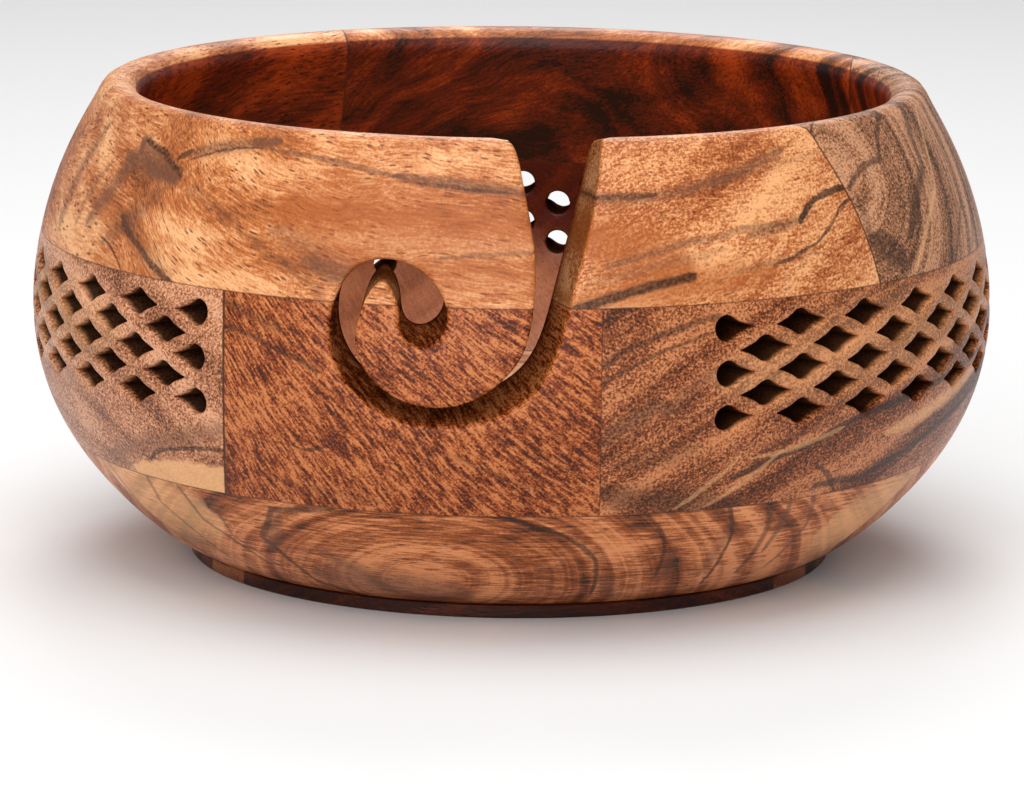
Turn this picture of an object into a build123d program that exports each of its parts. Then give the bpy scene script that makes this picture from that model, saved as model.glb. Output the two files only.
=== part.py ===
from build123d import *
import math
import os

# Yarn bowl turned from a glued stack of wood blocks, millimetres.
# Z is up from the table and the yarn slot opens towards -Y.

# driving dimensions
bowl_height = 88.5
foot_height = 2.6
foot_radius = 59.8
foot_ease = 0.3           # bevel of the foot's edges
floor_top = 11.0          # inside floor at the centre
bottom_joint = 23.5       # glue line between the bottom and the middle course
rim_joint = 61.0          # glue line between the middle and the rim course
joint_reach = 120.0       # half size of the boxes that part the courses

# turned outline, radius and height
outer_wall = [(60.9, 3.1), (63.2, 4.3), (73.0, 12.0), (81.4, 22.0), (87.1, 34.0), (89.0, 46.0),
              (88.0, 58.0), (84.8, 70.0), (80.3, 80.0), (77.7, 84.6)]
rim_crest = (73.8, bowl_height)
rim_inner = (69.3, 84.2)
rim_inner_fall = (0.06, -1)               # direction of the lip where it passes rim_inner
inner_wall = [(70.5, 79.0), (73.3, 71.0), (76.2, 61.0), (77.5, 50.0), (76.3, 38.0), (71.6, 23.5),
              (61.5, 14.6), (46.0, 11.6)]

# yarn slot, drawn on the plane y = slot_plane and narrowing towards an apex inside the bowl
slot_plane = -88.0
slot_apex = (-16.0, 18.0, 73.0)
slot_right = [(16.0, 76.7), (12.8, 68.2), (10.3, 61.1), (8.0, 54.2), (4.0, 47.0), (-1.0, 43.1),
              (-8.6, 40.5), (-15.5, 40.0), (-22.6, 41.6), (-28.6, 45.7), (-31.8, 51.2),
              (-32.3, 57.9), (-30.8, 62.7), (-28.0, 66.5), (-23.6, 68.4), (-18.4, 68.1),
              (-14.4, 65.9), (-11.6, 62.0), (-11.1, 58.0), (-12.9, 55.1), (-15.9, 53.9)]
slot_hook = [(-15.9, 53.9), (-18.4, 55.0), (-19.4, 58.0), (-20.4, 62.2), (-22.6, 64.6),
             (-24.9, 62.8), (-26.6, 59.0)]
slot_left = [(-26.6, 59.0), (-27.4, 53.3), (-24.9, 48.2), (-20.8, 45.1), (-15.5, 43.6),
             (-10.4, 43.9), (-5.3, 46.0), (-1.1, 49.4), (1.9, 53.4), (3.5, 58.4), (4.4, 64.1),
             (4.6, 70.7), (4.0, 77.6)]
slot_mouth_right = (19.3, 88.2)
slot_mouth_left = (2.8, 87.8)
slot_lip_left = 3.2       # how far the rounded corners of the mouth open at the rim
slot_lip_right = 1.6
lip_top = 92.6
slot_top = 117.6          # the cutting outline closes well above the rim
slot_far_share = 1.3      # ends of the cutter, as shares of the way from the apex to slot_plane
slot_near_share = 0.45

# directions that the slot's curves set off in and arrive in
right_side_fall = (-0.12, -1)
left_side_rise = (-0.1, 1)
hook_tip_fall = (-0.25, -1)
left_corner_out = (-1, 0.5)
right_corner_in = (-1, -0.8)
leftwards = (-1, 0)

# lattice of pierced holes in the middle course
lattice_first = 25.1      # degrees from the front, measured towards +X
lattice_last = 321.5
lattice_columns = 59
near_columns = 10         # columns at each end that stand at the near pitch
near_pitch = 5.0
lattice_middle = 48.7     # height of the middle row
lattice_step = 3.95       # height between staggered rows
bore_radius = 2.3
tip_reach = 5.4           # side tips, from the centre of the hole
tip_height = 2.1
tip_stub = 0.4            # what is left of a side tip at the two ends of the lattice
tip_depth_radius = 80.0   # the tips die out at this distance from the axis
tip_depth_share = 0.3     # their size there
tip_far_radius = 92.0     # the cutter ends outside the wall
tip_far_share = 1.25
bore_start = 60.0         # the bores run from here out through the wall
bore_length = 40.0

# glue joints seen from above
front_block_left = -50.0
front_block_right = 15.6
rim_front_joint = (52.4, -55.6, -13.1)    # a point on the joint and its angle from +X
rim_left_joint = (-32.3, 60.3, 107.0)
rim_right_joint = (64.0, 27.8, 82.0)
floor_joints = (-35.2, 28.3)
foot_joints = (-35.3, -24.5)


def column_angle(index):
    """Angle of a lattice column: near pitch at both ends, an even wider pitch between."""
    last = lattice_columns - 1
    if index <= near_columns:
        return lattice_first + near_pitch * index
    if index >= last - near_columns:
        return lattice_last - near_pitch * (last - index)
    start = lattice_first + near_pitch * near_columns
    end = lattice_last - near_pitch * near_columns
    return start + (end - start) * (index - near_columns) / (last - 2 * near_columns)


def turned_bowl():
    wall = Spline(outer_wall)
    lip_out = Spline([outer_wall[-1], rim_crest], tangents=[wall % 1, leftwards])
    lip_in = Spline([rim_crest, rim_inner], tangents=[leftwards, rim_inner_fall])
    inside = Spline([rim_inner] + inner_wall + [(0, floor_top)],
                    tangents=[rim_inner_fall, leftwards])
    base = Polyline((0, floor_top), (0, foot_height), (foot_radius - foot_ease, foot_height),
                    outer_wall[0])
    edges = [edge for line in (wall, lip_out, lip_in, inside, base) for edge in line.edges()]
    section = Plane.XZ * make_face(edges)
    return revolve(section, Axis.Z, clean=False)


def slot_section(share):
    """Slot outline grown about the apex: share 1 is the drawn size on the slot plane."""
    ax, ay, az = slot_apex

    def grown(points):
        return [(ax + (x - ax) * share, az + (z - az) * share) for x, z in points]

    corner_left = (slot_mouth_left[0] - slot_lip_left, lip_top)
    corner_right = (slot_mouth_right[0] + slot_lip_right, lip_top)
    above_left = (corner_left[0], slot_top)
    above_right = (corner_right[0], slot_top)
    walls = [
        Spline(grown([slot_mouth_right] + slot_right), tangents=[right_side_fall, leftwards]),
        Spline(grown(slot_hook), tangents=[leftwards, hook_tip_fall]),
        Spline(grown(slot_left + [slot_mouth_left]), tangents=[hook_tip_fall, left_side_rise]),
        Spline(grown([slot_mouth_left, corner_left]), tangents=[left_side_rise, left_corner_out]),
        Polyline(grown([corner_left, above_left, above_right, corner_right])),
        Spline(grown([corner_right, slot_mouth_right]),
               tangents=[right_corner_in, right_side_fall]),
    ]
    edges = [edge for wall in walls for edge in wall.edges()]
    distance = ay + (slot_plane - ay) * share
    plane = Plane(origin=(0, distance, 0), x_dir=(1, 0, 0), z_dir=(0, -1, 0))
    return plane * make_face(edges)


def slot_cutter():
    return loft([slot_section(slot_far_share), slot_section(slot_near_share)], ruled=True)


def tip_section(distance, share, left_tip, right_tip):
    """Flat diamond across a hole, at a distance from the axis."""
    left = tip_reach * share if left_tip else tip_stub * share
    right = tip_reach * share if right_tip else tip_stub * share
    high = tip_height * share
    plane = Plane(origin=(distance, 0, 0), x_dir=(0, 1, 0), z_dir=(1, 0, 0))
    return plane * make_face(Polyline((-left, 0), (0, high), (right, 0), (0, -high), close=True))


def hole_cutter(left_tip, right_tip):
    """Round bore with side tips that die out inside the wall, pointing along +X."""
    bore = Pos(bore_start, 0, 0) * Rot(0, 90, 0) * Cylinder(
        bore_radius, bore_length, align=(Align.CENTER, Align.CENTER, Align.MIN))
    wide = tip_section(tip_far_radius, tip_far_share, left_tip, right_tip)
    thin = tip_section(tip_depth_radius, tip_depth_share, left_tip, right_tip)
    return bore + loft([wide, thin], ruled=True)


def lattice_cutters():
    """One cutter per hole: three in the even columns and two in the odd ones between."""
    last = lattice_columns - 1
    plain = hole_cutter(True, True)
    end_shapes = {0: hole_cutter(False, True), last: hole_cutter(True, False)}
    cutters = []
    for index in range(lattice_columns):
        shape = end_shapes.get(index, plain)
        turn = column_angle(index) - 90
        for row in (-2, 0, 2) if index % 2 == 0 else (-1, 1):
            height = lattice_middle + row * lattice_step
            cutters.append(Pos(0, 0, height) * Rot(0, 0, turn) * shape)
    return cutters


def half_space(point_x, point_y, angle, z_low, z_high):
    """Large box whose one upright side lies on a joint; the box is on the joint's left side."""
    size = 2 * joint_reach
    box = Box(size, size, z_high - z_low, align=(Align.CENTER, Align.MIN, Align.MIN))
    return Pos(point_x, point_y, z_low) * Rot(0, 0, angle) * box


def slab(x_low, x_high, y_low, y_high, z_low, z_high):
    corner = Box(x_high - x_low, y_high - y_low, z_high - z_low,
                 align=(Align.MIN, Align.MIN, Align.MIN))
    return Pos(x_low, y_low, z_low) * corner


def rim_blocks(bowl):
    reach = joint_reach
    low, high = rim_joint, joint_reach
    ring = bowl & slab(-reach, reach, -reach, reach, low, high)
    behind_front = half_space(*rim_front_joint, low, high)
    right_of_left = half_space(*rim_left_joint[:2], rim_left_joint[2] + 180, low, high)
    left_of_right = half_space(*rim_right_joint, low, high)
    rear = slab(-reach, reach, 0, reach, low, high)
    right_side = slab(0, reach, -reach, reach, low, high)
    back = ring & rear & right_of_left & left_of_right
    right = (ring & right_side & behind_front) - (rear & left_of_right)
    planks = sorted((ring - back - right).solids(), key=lambda solid: solid.volume)
    tip, front, left = planks
    return {
        "rim_left_board": left,
        "rim_front_board": front,
        "rim_right_block": right.solid(),
        "rim_back_block": back.solid(),
        "hook_tip": tip,
    }


def wall_blocks(bowl):
    reach = joint_reach
    low, high = bottom_joint, rim_joint
    ring = bowl & slab(-reach, reach, -reach, reach, low, high)
    left = ring & slab(-reach, front_block_left, -reach, reach, low, high)
    right = ring & slab(front_block_right, reach, -reach, reach, low, high)
    strip = ring & slab(front_block_left, front_block_right, -reach, reach, low, high)
    hook, front, back = sorted(strip.solids(), key=lambda solid: solid.volume)
    if front.center().Y > 0:
        front, back = back, front
    return {
        "wall_left_block": left.solid(),
        "wall_front_block": front,
        "wall_right_block": right.solid(),
        "wall_back_block": back,
        "hook": hook,
    }


def floor_boards(bowl):
    reach = joint_reach
    course = bowl & slab(-reach, reach, -reach, reach, foot_height, bottom_joint)
    lines = (-reach,) + floor_joints + (reach,)
    names = ("floor_front_board", "floor_middle_board", "floor_back_board")
    boards = {}
    for name, near, far in zip(names, lines[:-1], lines[1:]):
        boards[name] = (course & slab(-reach, reach, near, far, 0, bottom_joint)).solid()
    return boards


def foot_strips():
    disc = Pos(0, 0, foot_height / 2) * Cylinder(foot_radius, foot_height)
    disc = chamfer(disc.edges().filter_by(GeomType.CIRCLE), foot_ease)
    lines = (-joint_reach,) + foot_joints + (joint_reach,)
    names = ("foot_front_strip", "foot_pale_strip", "foot_back_board")
    strips = {}
    for name, near, far in zip(names, lines[:-1], lines[1:]):
        strips[name] = (disc & slab(-joint_reach, joint_reach, near, far, 0, foot_height)).solid()
    return strips


def reaches(cutter, box):
    """Whether a cutter's box overlaps a block's box as seen from above."""
    other = cutter.bounding_box()
    apart_x = other.max.X < box.min.X or other.min.X > box.max.X
    apart_y = other.max.Y < box.min.Y or other.min.Y > box.max.Y
    return not (apart_x or apart_y)


def pierced(block, cutters):
    box = block.bounding_box()
    near = [cutter for cutter in cutters if reaches(cutter, box)]
    return (block - near).solid() if near else block


def main():
    bowl = turned_bowl()
    slotted = bowl - slot_cutter()
    cutters = lattice_cutters()
    parts = {}
    parts.update(rim_blocks(slotted))
    for name, block in wall_blocks(slotted).items():
        parts[name] = block if name == "hook" else pierced(block, cutters)
    parts.update(floor_boards(bowl))
    parts.update(foot_strips())
    os.makedirs("parts", exist_ok=True)
    for name, solid in parts.items():
        export_step(solid, "parts/" + name + ".step")
        print(name, round(solid.volume), solid.is_valid)


main()
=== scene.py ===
import math
import bpy
import bmesh
import numpy as np
from mathutils import Matrix, Vector
from mathutils.geometry import delaunay_2d_cdt


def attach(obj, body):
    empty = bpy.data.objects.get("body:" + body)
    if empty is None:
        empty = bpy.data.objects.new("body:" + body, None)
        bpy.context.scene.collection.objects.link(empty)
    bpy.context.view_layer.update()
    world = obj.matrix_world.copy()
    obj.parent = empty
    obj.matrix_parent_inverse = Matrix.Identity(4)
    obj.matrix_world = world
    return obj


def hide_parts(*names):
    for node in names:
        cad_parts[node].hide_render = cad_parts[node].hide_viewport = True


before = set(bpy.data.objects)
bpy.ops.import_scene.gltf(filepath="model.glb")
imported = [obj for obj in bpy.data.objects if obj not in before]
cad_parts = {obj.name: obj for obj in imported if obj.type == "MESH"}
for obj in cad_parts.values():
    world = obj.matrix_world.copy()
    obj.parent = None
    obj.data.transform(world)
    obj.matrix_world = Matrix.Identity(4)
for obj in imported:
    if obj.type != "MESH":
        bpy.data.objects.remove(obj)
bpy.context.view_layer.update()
mm = 0.001

# the turned outline as radius and height in mm, from the bottom glue line over the rim and down inside
bowlShape = {
    "outer": [(60.9, 3.1), (63.2, 4.3), (73.0, 12.0), (81.4, 22.0), (87.1, 34.0), (89.0, 46.0),
              (88.0, 58.0), (84.8, 70.0), (80.3, 80.0), (77.7, 84.6)],
    "crest": (73.8, 88.5),
    "innerEdge": (69.3, 84.2),
    "inner": [(70.5, 79.0), (73.3, 71.0), (76.2, 61.0), (77.5, 50.0), (76.3, 38.0),
              (71.6, 23.5), (61.5, 14.6), (46.0, 11.6)],
    "floorTop": 11.0,
    "bottomJoint": 23.5,
    "rimJoint": 61.0,
    "footHeight": 2.6,
    "footRadius": 59.8,
    "footEase": 0.3,
}


# natural cubic spline through the points, with the chord length as its parameter
def splineThrough(points, count):
    p = np.array(points, float)
    t = np.concatenate([[0], np.cumsum(np.linalg.norm(np.diff(p, axis=0), axis=1))])
    h = np.diff(t)
    n = len(t)
    m = np.eye(n)
    rhs = np.zeros((n, p.shape[1]))
    for k in range(1, n - 1):
        m[k, k - 1:k + 2] = h[k - 1], 2 * (h[k - 1] + h[k]), h[k]
        rhs[k] = 6 * ((p[k + 1] - p[k]) / h[k] - (p[k] - p[k - 1]) / h[k - 1])
    bend = np.linalg.solve(m, rhs)
    u = np.linspace(0, t[-1], count)
    k = np.clip(np.searchsorted(t, u) - 1, 0, n - 2)
    a = ((t[k + 1] - u) / h[k])[:, None]
    b = 1 - a
    curve = (a ** 3 - a) * bend[k] + (b ** 3 - b) * bend[k + 1]
    return a * p[k] + b * p[k + 1] + curve * (h[k] ** 2 / 6)[:, None]


# points evenly spaced along a polyline by running length
def evenly(points, step):
    run = np.concatenate([[0], np.cumsum(np.linalg.norm(np.diff(points, axis=0), axis=1))])
    at = np.linspace(0, run[-1], max(2, int(round(run[-1] / step)) + 1))
    return np.stack([np.interp(at, run, points[:, k]) for k in range(points.shape[1])], 1)


# quarter of an ellipse-like curve between two points, leaving the first along its own direction
def lipCurve(start, end, leave, arrive, count):
    u = np.linspace(0, 1, count)[:, None]
    p0, p3 = np.array(start, float), np.array(end, float)
    reach = np.linalg.norm(p3 - p0) * 0.42
    p1 = p0 + np.array(leave, float) / np.linalg.norm(leave) * reach
    p2 = p3 - np.array(arrive, float) / np.linalg.norm(arrive) * reach
    return ((1 - u) ** 3 * p0 + 3 * (1 - u) ** 2 * u * p1 + 3 * (1 - u) * u ** 2 * p2
            + u ** 3 * p3)


# outside and inside of the section: a spline up each wall, joined over the crest by two lip curves
def turnedOutline(shape):
    outer = splineThrough(shape["outer"], 600)
    up = outer[-1] - outer[-2]
    inner = splineThrough([shape["innerEdge"]] + shape["inner"] + [(20, 11.05), (0, 11.0)], 600)
    lipOut = lipCurve(outer[-1], shape["crest"], up, (-1, 0), 60)[1:]
    lipIn = lipCurve(shape["crest"], inner[0], (-1, 0), inner[1] - inner[0], 60)[1:]
    return np.concatenate([outer, lipOut]), np.concatenate([lipIn, inner[1:]])


outerLine, innerLine = turnedOutline(bowlShape)

# the yarn slot on the plane y = slotPlane, narrowing towards an apex inside the bowl, in mm
slotShape = {
    "plane": -88.0,
    "apex": (-16.0, 18.0, 73.0),
    "outline": [(16.0, 76.7), (12.8, 68.2), (10.3, 61.1), (8.0, 54.2), (4.0, 47.0), (-1.0, 43.1),
                (-8.6, 40.5), (-15.5, 40.0), (-22.6, 41.6), (-28.6, 45.7), (-31.8, 51.2),
                (-32.3, 57.9), (-30.8, 62.7), (-28.0, 66.5), (-23.6, 68.4), (-18.4, 68.1),
                (-14.4, 65.9), (-11.6, 62.0), (-11.1, 58.0), (-12.9, 55.1), (-15.9, 53.9),
                (-18.4, 55.0), (-19.4, 58.0), (-20.4, 62.2), (-22.6, 64.6), (-24.9, 62.8),
                (-26.6, 59.0), (-27.4, 53.3), (-24.9, 48.2), (-20.8, 45.1), (-15.5, 43.6),
                (-10.4, 43.9), (-5.3, 46.0), (-1.1, 49.4), (1.9, 53.4), (3.5, 58.4), (4.4, 64.1),
                (4.6, 70.7), (4.0, 77.6)],
    "mouthRight": [(21.6, 94.4), (20.3, 91.6), (19.5, 88.6), (18.3, 83.6)],
    "mouthLeft": [(3.4, 83.0), (2.7, 88.0), (1.6, 91.0), (-0.6, 93.6)],
    "ease": 0.85,
    "easeRings": 4,
    "step": 0.55,
    "search": (0.72, 1.12, 900),    # shares of the way from the apex to the plane that are searched
    "leastWall": 0.8,               # the loop ends where the wall above the mouth is thinner
}

# the pierced lattice; angles in degrees from the front towards +X, lengths in mm
latticeShape = {
    "first": 25.1,
    "last": 321.5,
    "columns": 59,
    "nearColumns": 10,
    "nearPitch": 5.0,
    "middle": 48.7,
    "rowStep": 3.95,
    "bore": 2.3,
    "tipReach": 5.4,
    "tipHeight": 2.1,
    "tipDepth": 9.0,
    "ease": 0.5,
    "crowd": 0.36,            # outline points crowd towards the tips by this much
    "reachShare": (0.42, 0.58),     # reach and height of a tip that has died out, and what a full one adds
    "heightShare": (0.3, 0.7),
    "sharpness": 9,           # how sharply the bore and the tips meet
    "innerGap": 0.4,
    "points": 40,
    "rows": 6,
    "easeRings": 3,
}


# angle of a column: near pitch times its number from either end, an even share of the rest between
def columnAngle(index, lattice):
    last, near, pitch = lattice["columns"] - 1, lattice["nearColumns"], lattice["nearPitch"]
    start = lattice["first"] + pitch * near
    end = lattice["last"] - pitch * near
    share = (index - near) / (last - 2 * near)
    between = start + (end - start) * share
    ahead = lattice["first"] + pitch * index
    behind = lattice["last"] - pitch * (last - index)
    return ahead if index <= near else behind if index >= last - near else between


# centres as angle, height, has a left tip, has a right tip
def latticeCentres(lattice):
    last = lattice["columns"] - 1
    centres = []
    for index in range(lattice["columns"]):
        rows = (-2, 0, 2) if index % 2 == 0 else (-1, 1)
        for row in rows:
            height = lattice["middle"] + row * lattice["rowStep"]
            centres.append((math.radians(columnAngle(index, lattice)), height,
                            index > 0, index < last))
    return np.array(centres, float)


# hole outline: radius at each angle is the larger of the bore and a flat rhombus, smoothly joined
def holeOutline(lattice, leftTip, rightTip, tipShare):
    u = np.linspace(0, 2 * math.pi, lattice["points"], endpoint=False)
    angle = u - lattice["crowd"] * np.sin(2 * u)
    leastReach, moreReach = lattice["reachShare"]
    leastHeight, moreHeight = lattice["heightShare"]
    reach = lattice["tipReach"] * (leastReach + moreReach * tipShare)
    side = np.where(np.cos(angle) > 0, rightTip, leftTip)
    half = np.where(side > 0.5, reach, lattice["bore"] * 0.5)
    tall = lattice["tipHeight"] * (leastHeight + moreHeight * tipShare)
    rhombus = 1 / (np.abs(np.cos(angle)) / half + np.abs(np.sin(angle)) / tall)
    power = lattice["sharpness"]
    radius = (lattice["bore"] ** power + rhombus ** power) ** (1 / power)
    return radius * np.cos(angle), radius * np.sin(angle)


# surface state: angle round the axis, running length along the outline, depth below the skin
skinLine = np.concatenate([outerLine, innerLine])
floorRadius = 55.0      # nearer the axis is the floor, which the wall shell leaves out
skinLine = skinLine[(skinLine[:, 0] > floorRadius)]
skinRun = np.concatenate([[0], np.cumsum(np.linalg.norm(np.diff(skinLine, axis=0), axis=1))])
skinSlope = np.gradient(skinLine, skinRun, axis=0)
skinSlope /= np.linalg.norm(skinSlope, axis=1)[:, None]
crestIndex = int(np.argmax(skinLine[:, 1]))
jointLow = bowlShape["bottomJoint"]


# running length of the outside or inside skin at a height, read off the outline
def runAtHeight(height, inside):
    part = slice(crestIndex, None) if inside else slice(0, crestIndex + 1)
    z, run = skinLine[part, 1], skinRun[part]
    return np.interp(height, z[::-1], run[::-1]) if inside else np.interp(height, z, run)


# distance from the axis of the outside or inside skin at a height, read off the outline
def radiusAtHeight(height, inside):
    part = slice(crestIndex, None) if inside else slice(0, crestIndex + 1)
    z, r = skinLine[part, 1], skinLine[part, 0]
    return np.interp(height, z[::-1], r[::-1]) if inside else np.interp(height, z, r)


runLow = runAtHeight(jointLow, False)
runHigh = runAtHeight(jointLow, True)


# point on the turned skin at an angle and running length, sunk by depth along the inward normal
def skinPoint(angle, run, depth):
    r = np.interp(run, skinRun, skinLine[:, 0])
    z = np.interp(run, skinRun, skinLine[:, 1])
    tr = np.interp(run, skinRun, skinSlope[:, 0])
    tz = np.interp(run, skinRun, skinSlope[:, 1])
    r, z = r - tz * depth, z + tr * depth
    return np.stack([r * np.sin(angle), -r * np.cos(angle), z], 1)


# round-over: depth of the skin at a distance from an eased edge is that of a quarter circle
def easeDepth(distance, radius):
    left = np.clip(radius - distance, 0, radius)
    return radius - np.sqrt(np.maximum(radius ** 2 - left ** 2, 0))


# where straight lines from the apex through the outline meet the outside or the inside skin
def slotHits(outline, inside):
    apex = np.array(slotShape["apex"])
    aim = np.stack([outline[:, 0], np.full(len(outline), slotShape["plane"]), outline[:, 1]], 1)
    along = np.linspace(*slotShape["search"])
    points = apex + (aim - apex)[:, None, :] * along[None, :, None]
    r = np.hypot(points[..., 0], points[..., 1])
    top = skinLine[crestIndex, 1]
    gap = r - radiusAtHeight(np.minimum(points[..., 2], top), inside)
    gap = np.where(points[..., 2] > top, np.nan, gap)
    change = (gap[:, :-1] < 0) & (gap[:, 1:] >= 0)
    found = change.any(1)
    k = np.argmax(change, 1)
    rows = np.arange(len(outline))
    g0, g1 = gap[rows, k], gap[rows, k + 1]
    share = np.where(found, g0 / np.where(g0 == g1, 1, g0 - g1), 0)
    hit = points[rows, k] + (points[rows, k + 1] - points[rows, k]) * share[:, None]
    angle = np.arctan2(hit[:, 0], -hit[:, 1])
    return angle, runAtHeight(hit[:, 2], inside), found


mapScale = 82.0     # about the wall's radius, so that the map is the same scale in all directions


# flat map of the skin: a ring whose radius is the exponential of running length over mapScale
def flatMap(angle, run):
    rho = np.exp(run / mapScale)
    return np.stack([rho * np.cos(angle), rho * np.sin(angle)], 1)


# moves a closed loop sideways by a distance, in mm on the skin, away from the hole it bounds
def offsetLoop(angle, run, distance):
    r = np.interp(run, skinRun, skinLine[:, 0])
    x, y = np.unwrap(angle) * r.mean(), run
    tx, ty = np.roll(x, -1) - np.roll(x, 1), np.roll(y, -1) - np.roll(y, 1)
    size = np.hypot(tx, ty) + 1e-9
    area = np.sum(x * np.roll(y, -1) - np.roll(x, -1) * y)
    side = -1 if area > 0 else 1
    return angle - side * distance * ty / size / r, run + side * distance * tx / size


# even-odd test of points against one closed loop in the flat map
def insideLoop(points, loop):
    a, b = loop, np.roll(loop, -1, axis=0)
    px, py = points[:, 0:1], points[:, 1:2]
    crosses = (a[:, 1] > py) != (b[:, 1] > py)
    at = a[:, 0] + (py - a[:, 1]) * (b[:, 0] - a[:, 0]) / np.where(a[:, 1] == b[:, 1], 1e-12,
                                                                 b[:, 1] - a[:, 1])
    return (np.sum(crosses & (px < at), axis=1) % 2) == 1


# the slot as one loop on the skin: down the outside from the right of the mouth, and back inside
def slotLoops():
    line = np.array(slotShape["mouthRight"] + slotShape["outline"] + slotShape["mouthLeft"])
    line = evenly(splineThrough(line, 4000), slotShape["step"])
    aOut, sOut, okOut = slotHits(line, False)
    aIn, sIn, okIn = slotHits(line, True)
    both = okOut & okIn
    gap = np.abs(sOut - sIn)
    keep = np.where(both & (gap > slotShape["leastWall"]))[0]
    keep = np.arange(keep[0], keep[-1] + 1)
    return aOut[keep], sOut[keep], aIn[keep], sIn[keep]


# how finely the shell is divided: points round its low edges, cells of the open field, and the degrees
# either side of the front within which a point can lie in the slot
shellGrid = {"around": 540, "columns": 440, "cell": 1.25, "slotReach": 32, "weld": 1e-9}


# the whole wall above the bottom glue line as one closed shell with the slot and the lattice cut out:
# the skin is unrolled, filled with triangles between the loops, rolled back, and the cuts walled in
def buildWallShell():
    points, depths, rings, loops = [], [], [], []

    def addPoints(angle, run, depth):
        start = sum(len(p) for p in points)
        points.append(np.stack([angle, run], 1))
        depths.append(np.broadcast_to(depth, angle.shape).astype(float))
        return np.arange(start, start + len(angle))

    def addLoop(angle, run, ease, ringCount):
        ids = addPoints(angle, run, ease)
        loops.append((ids, angle, run))
        for k in range(1, ringCount + 1):
            turn = 0.5 * math.pi * k / ringCount
            away = ease * (1 - math.cos(turn))
            a, s = offsetLoop(angle, run, away)
            rings.append((a, s, away, ease))
        return ids

    # bottom edges, one outside and one inside
    around = np.linspace(-math.pi, math.pi, shellGrid["around"], endpoint=False)
    lowOut = addPoints(around, np.full(around.shape, runLow), 0)
    lowIn = addPoints(around, np.full(around.shape, runHigh), 0)

    # slot
    aOut, sOut, aIn, sIn = slotLoops()
    slotAngle = np.concatenate([aOut, aIn[::-1]])
    slotRun = np.concatenate([sOut, sIn[::-1]])
    slotIds = addLoop(slotAngle, slotRun, slotShape["ease"],
                      slotShape["easeRings"])
    n = len(aOut)
    slotSides = slotIds[:n], slotIds[n:][::-1]

    # lattice holes, outside and inside, with the rows between them
    holeRows = []
    for angle, height, left, right in latticeCentres(latticeShape):
        sides = []
        for inside in (False, True):
            tip = 0.0 if inside else 1.0
            a, b = holeOutline(latticeShape, left, right, tip)
            reach = np.sqrt(radiusAtHeight(height + b, inside) ** 2 - a ** 2)
            ang = angle + np.arctan2(a, reach)
            ids = addLoop(ang, runAtHeight(height + b, inside), latticeShape["ease"],
                          latticeShape["easeRings"])
            sides.append(ids)
        holeRows.append((sides, angle, height, left, right))

    # rings of the round-overs, all kept, and the cells that they and the loops fall in marked as used
    rows = int((runHigh - runLow) / shellGrid["cell"])
    columns = shellGrid["columns"]
    used = np.zeros((columns, rows + 1), bool)

    def cellOf(angle, run):
        i = np.floor((angle / (2 * math.pi)) * columns).astype(int) % columns
        j = np.clip(((run - runLow) / (runHigh - runLow) * rows).astype(int), 0, rows)
        return i, j

    for a, s, away, ease in rings:
        addPoints(a, s, float(easeDepth(np.array(away), ease)))
    everything = np.concatenate(points)
    i, j = cellOf(everything[len(around) * 2:, 0], everything[len(around) * 2:, 1])
    used[i, j] = True

    # open field of the skin on a staggered grid, thinned where loops already lie
    gi, gj = np.meshgrid(np.arange(columns), np.arange(1, rows), indexing="ij")
    ga = (gi + 0.5 * (gj % 2) + 0.25) / columns * 2 * math.pi
    gs = runLow + (gj + 0.5) / rows * (runHigh - runLow)
    ci, cj = cellOf(ga.ravel(), gs.ravel())
    near = used | np.roll(used, 1, 0) | np.roll(used, -1, 0)
    near = near | np.roll(near, 1, 1) | np.roll(near, -1, 1)
    free = ~near[ci, cj]
    ga, gs = ga.ravel()[free], gs.ravel()[free]
    ga = (ga + math.pi) % (2 * math.pi) - math.pi
    slotFlat = flatMap(slotAngle, slotRun)
    close = np.abs(ga) < math.radians(shellGrid["slotReach"])
    drop = np.zeros(len(ga), bool)
    drop[close] = insideLoop(flatMap(ga[close], gs[close]), slotFlat)
    addPoints(ga[~drop], gs[~drop], 0)

    flat = np.concatenate([flatMap(p[:, 0], p[:, 1]) for p in points])
    edges = []
    for ids, _, _ in loops + [(lowOut, None, None), (lowIn, None, None)]:
        edges += list(zip(ids.tolist(), np.roll(ids, -1).tolist()))
    result = delaunay_2d_cdt([Vector(p) for p in flat], edges, [], 0, shellGrid["weld"])
    triangles = np.array([list(f) for f in result[2]])
    source = np.array([o[0] if len(o) else -1 for o in result[3]])
    print("wall skin:", len(flat), "points in,", len(result[0]), "out,", len(triangles), "faces")
    triangles = source[triangles]

    # drop what lies in the middle of the ring, past its edge, in the slot or in a hole
    owner = np.full(len(flat), -1)
    for k, (ids, _, _) in enumerate(loops):
        owner[ids] = k
    owner[lowOut] = -2
    owner[lowIn] = -3
    tri = owner[triangles]
    same = (tri[:, 0] == tri[:, 1]) & (tri[:, 1] == tri[:, 2])
    keep = ~(same & (tri[:, 0] <= -2))
    centre = flat[triangles].mean(1)
    for k in np.unique(tri[same & (tri[:, 0] >= 0), 0]):
        ids = loops[k][0]
        which = np.where(same & (tri[:, 0] == k))[0]
        keep[which] &= ~insideLoop(centre[which], flat[ids])
    triangles = triangles[keep]

    state = np.concatenate(points)
    depth = np.concatenate(depths)
    position = skinPoint(state[:, 0], state[:, 1], depth)
    faces = [triangles]
    extra = []
    base = len(position)

    def strip(first, second, closed):
        a, b = np.asarray(first), np.asarray(second)
        a2, b2 = np.roll(a, -1), np.roll(b, -1)
        if not closed:
            a, b, a2, b2 = a[:-1], b[:-1], a2[:-1], b2[:-1]
        return np.concatenate([np.stack([a, b, b2], 1), np.stack([a, b2, a2], 1)])

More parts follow.
